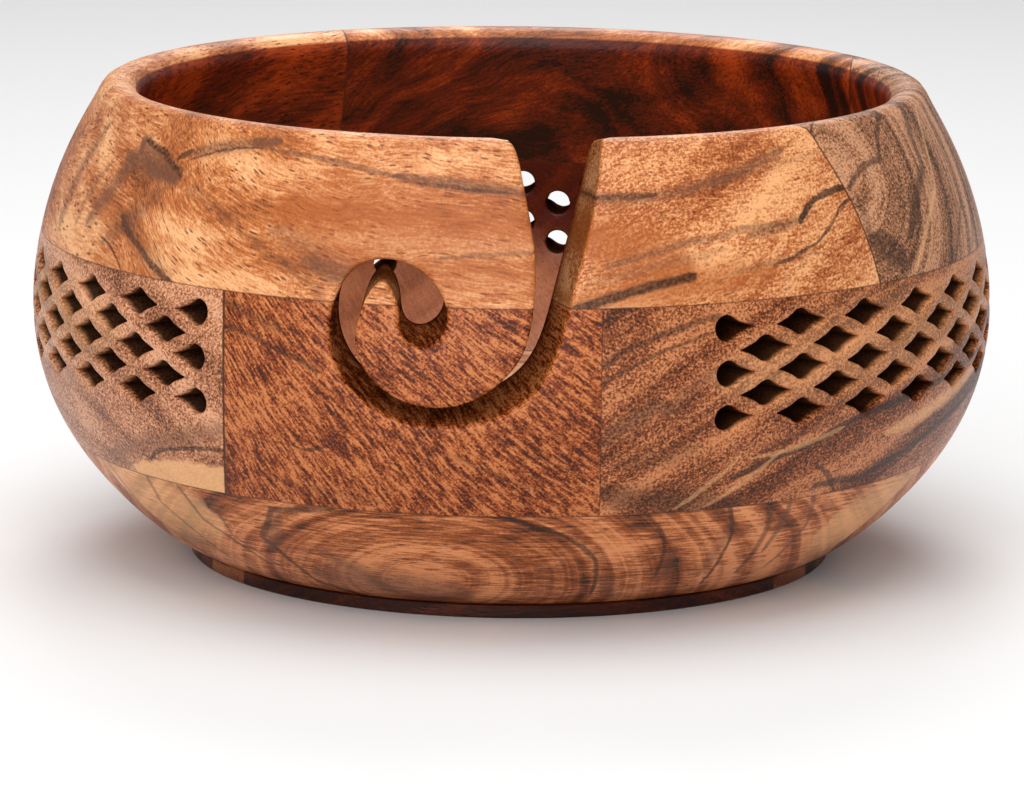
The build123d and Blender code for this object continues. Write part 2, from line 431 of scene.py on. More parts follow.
    faces.append(strip(lowOut, lowIn, True))
    faces.append(strip(*slotSides, False))
    tips = latticeShape["tipDepth"]
    for sides, angle, height, left, right in holeRows:
        first, last = position[sides[0]], position[sides[1]]
        previous = sides[0]
        for k in range(1, latticeShape["rows"]):
            share = k / latticeShape["rows"]
            r = np.hypot(first[:, 0], first[:, 1])
            r = r + (np.hypot(last[:, 0], last[:, 1]) - r) * share
            sunk = float(np.median(np.hypot(first[:, 0], first[:, 1])) - np.median(r))
            tipShare = max(0.0, 1 - (sunk + latticeShape["innerGap"]) / tips)
            a, b = holeOutline(latticeShape, left, right, tipShare)
            reach = np.sqrt(r ** 2 - a ** 2)
            x = reach * math.sin(angle) + a * math.cos(angle)
            y = -reach * math.cos(angle) + a * math.sin(angle)
            extra.append(np.stack([x, y, height + b], 1))
            ids = np.arange(base, base + len(a))
            base += len(a)
            faces.append(strip(previous, ids, True))
            previous = ids
        faces.append(strip(previous, sides[1], True))
    position = np.concatenate([position] + extra)
    return position, np.concatenate(faces)


# closed turned shape: the outline carried once round the axis, with its ends closed on the axis
def buildTurned(outline, count):
    outline = np.asarray(outline, float)
    angle = np.linspace(0, 2 * math.pi, count, endpoint=False)
    ringCount = len(outline)
    r, z = outline[:, 0][:, None], outline[:, 1][:, None]
    x, y = r * np.sin(angle), -r * np.cos(angle)
    position = np.stack([x, y, np.broadcast_to(z, x.shape)], 2).reshape(-1, 3)
    i, j = np.meshgrid(np.arange(ringCount - 1), np.arange(count), indexing="ij")
    a, b = i * count + j, i * count + (j + 1) % count
    quads = np.stack([a, a + count, b + count, b], 2).reshape(-1, 4)
    faces = np.concatenate([quads[:, [0, 1, 2]], quads[:, [0, 2, 3]]])
    return position, faces


# a mesh in metres from millimetres, with doubled points merged, loose ones gone and faces outward
def closedMesh(position, faces):
    bm = bmesh.new()
    mesh = bpy.data.meshes.new("work")
    mesh.from_pydata((position * mm).tolist(), [], faces.tolist())
    bm.from_mesh(mesh)
    bpy.data.meshes.remove(mesh)
    bmesh.ops.remove_doubles(bm, verts=bm.verts, dist=2e-7)
    loose = [v for v in bm.verts if not v.link_faces]
    bmesh.ops.delete(bm, geom=loose, context="VERTS")
    bmesh.ops.recalc_face_normals(bm, faces=bm.faces)
    return bm


# keeps the side of a plane that the normal points to and closes the cut with a flat face
def sliced(source, point, normal):
    bm = source.copy()
    bmesh.ops.bisect_plane(bm, geom=bm.verts[:] + bm.edges[:] + bm.faces[:], dist=1e-7,
                           plane_co=Vector(point) * mm, plane_no=Vector(normal),
                           clear_inner=True)
    rim = [e for e in bm.edges if e.is_boundary]
    if rim:
        bmesh.ops.triangle_fill(bm, use_beauty=True, use_dissolve=False, edges=rim,
                                normal=-Vector(normal))
    return bm


# the connected part of a mesh that has the vertex nearest to a point
def nearestPart(source, point):
    bm = source.copy()
    bm.verts.ensure_lookup_table()
    bm.verts.index_update()
    co = np.array([v.co for v in bm.verts])
    seed = bm.verts[int(np.argmin(np.sum((co - np.array(point) * mm) ** 2, 1)))]
    reached, front = {seed}, [seed]
    while front:
        nearby = [e.other_vert(v) for v in front for e in v.link_edges]
        front = []
        for v in nearby:
            if v not in reached:
                reached.add(v)
                front.append(v)
    others = [v for v in bm.verts if v not in reached]
    bmesh.ops.delete(bm, geom=others, context="VERTS")
    return bm


# depth through the wall, 0 on the outer skin and 1 on the inner one, of points in millimetres
def depthOf(position):
    radius, height = np.hypot(position[:, 0], position[:, 1]), position[:, 2]
    outer = np.interp(height, outerLine[:, 1], outerLine[:, 0])
    order = np.argsort(innerLine[:, 1])
    inner = np.interp(height, innerLine[order, 1], innerLine[order, 0])
    return np.clip((outer - radius) / np.maximum(outer - inner, 0.5), 0, 1)


# stores depthOf at each point, for the materials
def addDepth(mesh):
    position = np.empty(len(mesh.vertices) * 3, np.float32)
    mesh.vertices.foreach_get("co", position)
    share = depthOf(position.reshape(-1, 3) / mm)
    attribute = mesh.attributes.new("depth", "FLOAT", "POINT")
    attribute.data.foreach_set("value", share.astype(np.float32))


# where a face counts as cut: depth between the skins, sideways lean of its normal, height below the lip
cutLimits = {"depth": (0.025, 0.97), "lean": 0.3, "below": 80.0, "aboveJoint": 0.1}


# cut faces lie between the skins, and their normal leans sideways or they are well below the lip
def cutFaces(mesh):
    count = len(mesh.polygons)
    normal, centre = np.empty(count * 3, np.float32), np.empty(count * 3, np.float32)
    mesh.polygons.foreach_get("normal", normal)
    mesh.polygons.foreach_get("center", centre)
    normal, centre = normal.reshape(-1, 3), centre.reshape(-1, 3) / mm
    depth = depthOf(centre)
    radius = np.maximum(np.hypot(centre[:, 0], centre[:, 1]), 1)
    sideways = np.abs(normal[:, 0] * centre[:, 1] - normal[:, 1] * centre[:, 0]) / radius
    height = centre[:, 2]
    between = (depth > cutLimits["depth"][0]) & (depth < cutLimits["depth"][1])
    aside = (sideways > cutLimits["lean"]) | (height < cutLimits["below"])
    return between & aside & (height > bowlShape["bottomJoint"] + cutLimits["aboveJoint"])


sharpAngle = 42.0     # degrees between faces from which an edge is drawn sharp


# makes a piece of a block: outward faces, smooth shading, its two woods (the second for the cut faces, with
# painted shade), and what it stands for
def finishPiece(bm, name, node):
    bmesh.ops.recalc_face_normals(bm, faces=bm.faces)
    gaps = sum(1 for e in bm.edges if not e.is_manifold)
    mesh = bpy.data.meshes.new(name)
    bm.to_mesh(mesh)
    mesh.polygons.foreach_set("use_smooth", np.ones(len(mesh.polygons), bool))
    mesh.set_sharp_from_angle(angle=math.radians(sharpAngle))
    addDepth(mesh)
    mesh.materials.append(woodFor(name, node))
    isCut = cutFaces(mesh)
    if node.startswith(("rim", "wall", "hook")) and isCut.any():
        bored = node in ("wall_left_block", "wall_right_block", "wall_back_block")
        mesh.materials.append(woodFor(name + "Cut", node, "holes" if bored else "slot"))
        mesh.polygons.foreach_set("material_index", isCut.astype(np.int32))
    obj = bpy.data.objects.new(name, mesh)
    bpy.context.scene.collection.objects.link(obj)
    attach(obj, "root")
    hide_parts(node)
    print(name, len(mesh.polygons), "faces", gaps, "open edges", round(bm.calc_volume() * 1e9))
    bm.free()


# joints seen from above: a point, and the direction the joint runs in, degrees from +X
jointLines = {
    "rimFront": (52.4, -55.6, -13.1),
    "rimLeft": (-32.3, 60.3, 107.0),
    "rimRight": (64.0, 27.8, 82.0),    # only behind the middle of the bowl
    "wallLeft": -50.0,
    "wallRight": 15.6,
    "floor": (-35.2, 28.3),
    "foot": (-35.3, -24.5),
}


# the part of a block on the left (1) or right (-1) of a joint line
def besideJoint(source, joint, side):
    x, y, angle = joint
    turn = math.radians(angle)
    normal = (-math.sin(turn) * side, math.cos(turn) * side, 0)
    return sliced(source, (x, y, 0), normal)


# puts one node in a tree; a socket among the values is linked, and anything else is set
def put(tree, kind, values=None, **settings):
    node = tree.nodes.new(kind)
    for key, value in settings.items():
        setattr(node, key, value)
    for key, value in (values or {}).items():
        if isinstance(value, bpy.types.NodeSocket):
            tree.links.new(value, node.inputs[key])
        else:
            node.inputs[key].default_value = value
    return node


# one sum on two values
def calc(tree, operation, first, second=0.0):
    return put(tree, "ShaderNodeMath", {0: first, 1: second}, operation=operation).outputs[0]


# one sum on two vectors; result 1 is the value of a length, distance or dot product
def vector(tree, operation, first, second=(0, 0, 0), result=0):
    node = put(tree, "ShaderNodeVectorMath", {0: first, 1: second}, operation=operation)
    return node.outputs[result]


# a vector times a value
def scaled(tree, value, factor):
    return put(tree, "ShaderNodeVectorMath", {0: value, "Scale": factor}, operation="SCALE").outputs[0]


# value carried from low..high to toLow..toHigh and held at the ends
def ranged(tree, value, low, high, toLow=0.0, toHigh=1.0, smooth=True):
    kind = "SMOOTHSTEP" if smooth else "LINEAR"
    return put(tree, "ShaderNodeMapRange", {0: value, 1: low, 2: high, 3: toLow, 4: toHigh},
               interpolation_type=kind).outputs[0]


# first colour mixed towards the second by a share
def blended(tree, share, first, second):
    return put(tree, "ShaderNodeMix", {0: share, 6: first, 7: second}, data_type="RGBA").outputs[2]


# noise of a place, at so many lumps a unit
def noise(tree, place, scale, detail=2.0, rough=0.5, dimensions="3D"):
    values = {"Scale": scale, "Detail": detail, "Roughness": rough}
    values["W" if dimensions == "1D" else "Vector"] = place
    return put(tree, "ShaderNodeTexNoise", values, noise_dimensions=dimensions)


# an empty node group with named sockets: f is a value, v a vector, c a colour
def newGroup(name, inputs, outputs):
    tree = bpy.data.node_groups.new(name, "ShaderNodeTree")
    kinds = {"f": "NodeSocketFloat", "v": "NodeSocketVector", "c": "NodeSocketColor"}
    for label, kind, start in inputs:
        socket = tree.interface.new_socket(name=label, in_out="INPUT", socket_type=kinds[kind])
        socket.default_value = start
    for label, kind in outputs:
        tree.interface.new_socket(name=label, in_out="OUTPUT", socket_type=kinds[kind])
    return tree, tree.nodes.new("NodeGroupInput").outputs, tree.nodes.new("NodeGroupOutput").inputs


# puts a node group in a tree, its inputs set or linked by name
def useGroup(tree, group, values):
    node = tree.nodes.new("ShaderNodeGroup")
    node.node_tree = group
    for key, value in values.items():
        if isinstance(value, bpy.types.NodeSocket):
            tree.links.new(value, node.inputs[key])
        else:
            node.inputs[key].default_value = value
    return node.outputs


# where a point lies on the bowl, millimetres: arc is the angle from the slot times skinRadius, then height
# and radius. Shake is noise about 0 that roughens streaks, and Gritty breaks them into specks.
skinNoise = {"shake": (0.3, 4.0, 0.65), "grit": (1.6, 2.5, 0.6), "gritFrom": 0.35, "gritTo": 0.65}


def makeSkinGroup():
    tree, into, out = newGroup("bowlSkin", [("Place", "v", (0, 0, 0))], [
        ("Millimetres", "v"), ("Skin", "v"), ("Shake", "v"), ("Gritty", "f")])
    place = scaled(tree, into["Place"], 1000.0)
    parts = put(tree, "ShaderNodeSeparateXYZ", {0: place}).outputs
    turn = calc(tree, "ARCTAN2", parts[0], calc(tree, "MULTIPLY", parts[1], -1.0))
    arc = calc(tree, "MULTIPLY", turn, skinRadius)
    radius = vector(tree, "LENGTH", vector(tree, "MULTIPLY", place, (1, 1, 0)), result=1)
    skin = put(tree, "ShaderNodeCombineXYZ", {0: arc, 1: parts[2], 2: radius}).outputs[0]
    shake = vector(tree, "SUBTRACT", noise(tree, skin, *skinNoise["shake"]).outputs["Color"],
                   (0.5, 0.5, 0.5))
    gritty = ranged(tree, noise(tree, skin, *skinNoise["grit"]).outputs[0],
                    skinNoise["gritFrom"], skinNoise["gritTo"])
    tree.links.new(place, out["Millimetres"])
    tree.links.new(skin, out["Skin"])
    tree.links.new(shake, out["Shake"])
    tree.links.new(gritty, out["Gritty"])
    return tree


# the wood's patterns: how finely each divides a millimetre, across twice and along the grain, and where its
# tones begin and end
grainShape = {
    "warp": 0.028,
    "fibre": (2.1, 2.1, 0.16),
    "patch": (0.09, 0.09, 0.035),
    "speck": (1.0, 1.0, 0.8),
    "speckScale": 2.2,
    "rayFan": 190.0,
    "rayRun": 0.28,
    "rayLength": 0.2,
    "pore": (1.35, 1.35, 0.3),
    "poreEdge": (0.36, 0.16),
    "contrast": 1.6,
    "darkTone": (0.05, 0.5),
    "paleTone": (0.5, 0.95),
    "gloss": (0.46, 0.34),
}


# wood as a solid: tone is the sum of rings by distance from the pith, fibres drawn out along the grain,
# patches, specks and rays, each times its strength; it picks dark, middle or pale, and pores are dark cells
def makeWoodGroup():
    tree, into, out = newGroup("turnedWood", [
        ("Rings Place", "v", (0, 0, 0)), ("Grain Place", "v", (0, 0, 0)),
        ("Pale", "c", (0.7, 0.4, 0.2, 1)), ("Middle", "c", (0.5, 0.2, 0.1, 1)),
        ("Dark", "c", (0.2, 0.08, 0.04, 1)),
        ("Ring Spacing", "f", 6.0), ("Ring Strength", "f", 0.5), ("Warp", "f", 6.0),
        ("Fibre Strength", "f", 0.3), ("Blotch Strength", "f", 0.4), ("Tone", "f", 0.5),
        ("Pore Strength", "f", 0.6), ("Pore Share", "f", 0.4),
        ("Stipple Strength", "f", 0.0), ("Ray Strength", "f", 0.0)],
        [("Colour", "c"), ("Roughness", "f"), ("Height", "f")])
    ringsPlace, grainPlace = into["Rings Place"], into["Grain Place"]
    wave = noise(tree, ringsPlace, grainShape["warp"], 2.5, 0.55).outputs["Color"]
    push = scaled(tree, vector(tree, "SUBTRACT", wave, (0.5, 0.5, 0.5)), into["Warp"])
    warped = vector(tree, "ADD", ringsPlace, push)
    across = vector(tree, "MULTIPLY", warped, (1, 1, 0))
    ringAt = calc(tree, "DIVIDE", vector(tree, "LENGTH", across, result=1), into["Ring Spacing"])
    bands = noise(tree, ringAt, 1.0, 4.0, 0.6, "1D").outputs[0]
    ringTone = calc(tree, "MULTIPLY", calc(tree, "SUBTRACT", bands, 0.5), into["Ring Strength"])
    # fibres
    drawn = vector(tree, "MULTIPLY", vector(tree, "ADD", grainPlace, push), grainShape["fibre"])
    fibre = noise(tree, drawn, 1.0, 4.0, 0.65).outputs[0]
    fibreTone = calc(tree, "MULTIPLY", calc(tree, "SUBTRACT", fibre, 0.5), into["Fibre Strength"])
    patch = noise(tree, vector(tree, "MULTIPLY", grainPlace, grainShape["patch"]), 1.0, 3.0, 0.6).outputs[0]
    patchTone = calc(tree, "MULTIPLY", calc(tree, "SUBTRACT", patch, 0.5), into["Blotch Strength"])
    # stipple of the end grain
    speck = noise(tree, vector(tree, "MULTIPLY", grainPlace, grainShape["speck"]),
                  grainShape["speckScale"], 2.5, 0.65).outputs[0]
    speckTone = calc(tree, "MULTIPLY", ranged(tree, speck, 0.32, 0.68, -0.5, 0.5, smooth=False),
                     into["Stipple Strength"])
    # rays run straight out from the pith
    flat = put(tree, "ShaderNodeSeparateXYZ", {0: warped}).outputs
    fan = calc(tree, "MULTIPLY", calc(tree, "ARCTAN2", flat[1], flat[0]), grainShape["rayFan"])
    rayPlace = put(tree, "ShaderNodeCombineXYZ", {
        0: fan, 1: calc(tree, "MULTIPLY", vector(tree, "LENGTH", across, result=1), grainShape["rayRun"]),
        2: calc(tree, "MULTIPLY", flat[2], grainShape["rayLength"])}).outputs[0]
    ray = noise(tree, rayPlace, 1.0, 2.5, 0.65).outputs[0]
    rayTone = calc(tree, "MULTIPLY", calc(tree, "SUBTRACT", ray, 0.5), into["Ray Strength"])
    tone = into["Tone"]
    for part in (ringTone, fibreTone, patchTone, speckTone, rayTone):
        tone = calc(tree, "ADD", tone, calc(tree, "MULTIPLY", part, grainShape["contrast"]))
    low = blended(tree, ranged(tree, tone, *grainShape["darkTone"], smooth=False),
                  into["Dark"], into["Middle"])
    body = blended(tree, ranged(tree, tone, *grainShape["paleTone"], smooth=False), low, into["Pale"])
    # pores
    cellPlace = vector(tree, "MULTIPLY", vector(tree, "ADD", grainPlace, push), grainShape["pore"])
    cells = put(tree, "ShaderNodeTexVoronoi", {"Vector": cellPlace, "Scale": 1.0, "Randomness": 1.0})
    chosen = calc(tree, "LESS_THAN", put(tree, "ShaderNodeSeparateColor",
                                         {0: cells.outputs["Color"]}).outputs[0], into["Pore Share"])
    hole = calc(tree, "MULTIPLY", ranged(tree, cells.outputs["Distance"], *grainShape["poreEdge"]), chosen)
    pore = calc(tree, "MULTIPLY", hole, into["Pore Strength"])
    coloured = blended(tree, pore, body, into["Dark"])
    rough = ranged(tree, tone, 0.0, 1.0, *grainShape["gloss"], smooth=False)
    rough = calc(tree, "ADD", rough, calc(tree, "MULTIPLY", pore, 0.2))
    height = calc(tree, "ADD", calc(tree, "MULTIPLY", fibre, 0.35), calc(tree, "MULTIPLY", speck, 0.5))
    height = calc(tree, "SUBTRACT", height, calc(tree, "MULTIPLY", hole, 0.6))
    tree.links.new(coloured, out["Colour"])
    tree.links.new(rough, out["Roughness"])
    tree.links.new(height, out["Height"])
    return tree


# dark line between two places on the skin: distance from a bowed line, roughened, against its width
def makeStreakGroup():
    tree, into, out = newGroup("streak", [
        ("Skin", "v", (0, 0, 0)), ("Shake", "v", (0, 0, 0)), ("Gritty", "f", 0.0),
        ("From", "v", (0, 0, 0)), ("To", "v", (1, 0, 0)), ("Bow", "f", 0.0), ("Width", "f", 1.0),
        ("Taper", "f", 1.0), ("Wander", "f", 1.0), ("Soft", "f", 0.5), ("Grit", "f", 0.3)],
        [("Mask", "f")])
    skin = into["Skin"]
    shake = scaled(tree, into["Shake"], into["Wander"])
    run = vector(tree, "SUBTRACT", into["To"], into["From"])
    here = vector(tree, "MULTIPLY", vector(tree, "ADD", vector(tree, "SUBTRACT", skin, into["From"]), shake),
                  (1, 1, 0))
    size = vector(tree, "DOT_PRODUCT", run, run, 1)
    share = calc(tree, "DIVIDE", vector(tree, "DOT_PRODUCT", here, run, 1), size)
    share = put(tree, "ShaderNodeClamp", {0: share}).outputs[0]
    belly = calc(tree, "MULTIPLY", share, calc(tree, "SUBTRACT", 1.0, share))
    parts = put(tree, "ShaderNodeSeparateXYZ", {0: run}).outputs
    side = put(tree, "ShaderNodeCombineXYZ", {0: calc(tree, "MULTIPLY", parts[1], -1.0),
                                              1: parts[0]}).outputs[0]
    side = vector(tree, "NORMALIZE", side)
    amount = calc(tree, "MULTIPLY", calc(tree, "MULTIPLY", belly, 4.0), into["Bow"])
    side = scaled(tree, side, amount)
    along = scaled(tree, run, share)
    away = vector(tree, "DISTANCE", here, vector(tree, "ADD", along, side), 1)
    lens = calc(tree, "SUBTRACT", calc(tree, "MULTIPLY", calc(tree, "SQRT", belly), 1.6), 0.8)
    thin = calc(tree, "ADD", calc(tree, "MULTIPLY", lens, into["Taper"]), 1.0)
    width = calc(tree, "MULTIPLY", into["Width"], thin)
    solid = calc(tree, "MULTIPLY", width, calc(tree, "SUBTRACT", 1.0, into["Soft"]))
    mask = ranged(tree, away, width, solid)
    keep = calc(tree, "SUBTRACT", 1.0, calc(tree, "MULTIPLY", into["Gritty"], into["Grit"]))
    tree.links.new(calc(tree, "MULTIPLY", mask, keep), out["Mask"])
    return tree


# thin dark line where two blocks meet: distance from the plane of the joint
def makeGlueGroup():
    tree, into, out = newGroup("glueLine", [
        ("Millimetres", "v", (0, 0, 0)), ("Point", "v", (0, 0, 0)), ("Across", "v", (0, 0, 1)),
        ("Width", "f", 0.15)], [("Mask", "f")])
    gap = vector(tree, "DOT_PRODUCT", vector(tree, "SUBTRACT", into["Millimetres"], into["Point"]),
                 into["Across"], 1)
    shake = noise(tree, into["Millimetres"], 0.5, 2.0, 0.5).outputs[0]
    width = calc(tree, "MULTIPLY", into["Width"], calc(tree, "ADD", shake, 0.5))
    mask = ranged(tree, calc(tree, "ABSOLUTE", gap), width, calc(tree, "MULTIPLY", width, 0.3))
    tree.links.new(mask, out["Mask"])
    return tree


skinRadius = 85.0    # arc lengths on the skin are taken at this radius
skinGroup = makeSkinGroup()
woodGroup = makeWoodGroup()
streakGroup = makeStreakGroup()
glueGroup = makeGlueGroup()


# an opaque colour
def colour(red, green, blue):
    return (red, green, blue, 1)


# palettes, as pale, middle and dark wood
palettes = {
    "golden": (colour(0.82, 0.42, 0.190), colour(0.45, 0.132, 0.034), colour(0.12, 0.030, 0.008)),
    "goldenRight": (colour(0.80, 0.385, 0.165), colour(0.40, 0.105, 0.026), colour(0.10, 0.024, 0.006)),
    "redBrown": (colour(0.54, 0.180, 0.056), colour(0.26, 0.050, 0.009), colour(0.055, 0.009, 0.002)),
    "midBrown": (colour(0.56, 0.210, 0.082), colour(0.22, 0.052, 0.013), colour(0.035, 0.009, 0.003)),
    "greyBrown": (colour(0.58, 0.285, 0.150), colour(0.29, 0.112, 0.047), colour(0.045, 0.018, 0.008)),
    "tan": (colour(0.68, 0.340, 0.190), colour(0.37, 0.130, 0.054), colour(0.055, 0.018, 0.007)),
    "floor": (colour(0.70, 0.270, 0.105), colour(0.30, 0.074, 0.018), colour(0.035, 0.010, 0.003)),
    # painted shade: the foot's front and back strips take this very dark palette, standing in for the shade
    # under the bowl
    "foot": (colour(0.11, 0.018, 0.002), colour(0.040, 0.005, 0.0006), colour(0.012, 0.002, 0.001)),
    "footPale": (colour(0.32, 0.105, 0.035), colour(0.17, 0.042, 0.011), colour(0.05, 0.010, 0.003)),
    # painted shade: these two inside palettes darken the inner wall as if it lay in shade
    "inside": (colour(0.36, 0.048, 0.005), colour(0.125, 0.013, 0.0015), colour(0.012, 0.002, 0.0005)),
    "insideShadedRed": (colour(0.15, 0.016, 0.001), colour(0.065, 0.005, 0.0004), colour(0.012, 0.001, 0.0002)),
    # painted light: these two inside palettes lighten the lower inner wall and the inside floor as if lit
    # from above
    "insidePaintedLight": (colour(0.58, 0.24, 0.12), colour(0.42, 0.155, 0.075), colour(0.20, 0.070, 0.030)),
    "insideFloorPaintedLight": (colour(0.85, 0.50, 0.28), colour(0.70, 0.34, 0.17), colour(0.35, 0.14, 0.06)),
}

markColours = {
    "dark": colour(0.030, 0.011, 0.006),
    "brown": colour(0.130, 0.048, 0.024),
    "amber": colour(0.360, 0.088, 0.017),
    "pale": colour(0.800, 0.430, 0.190),
}
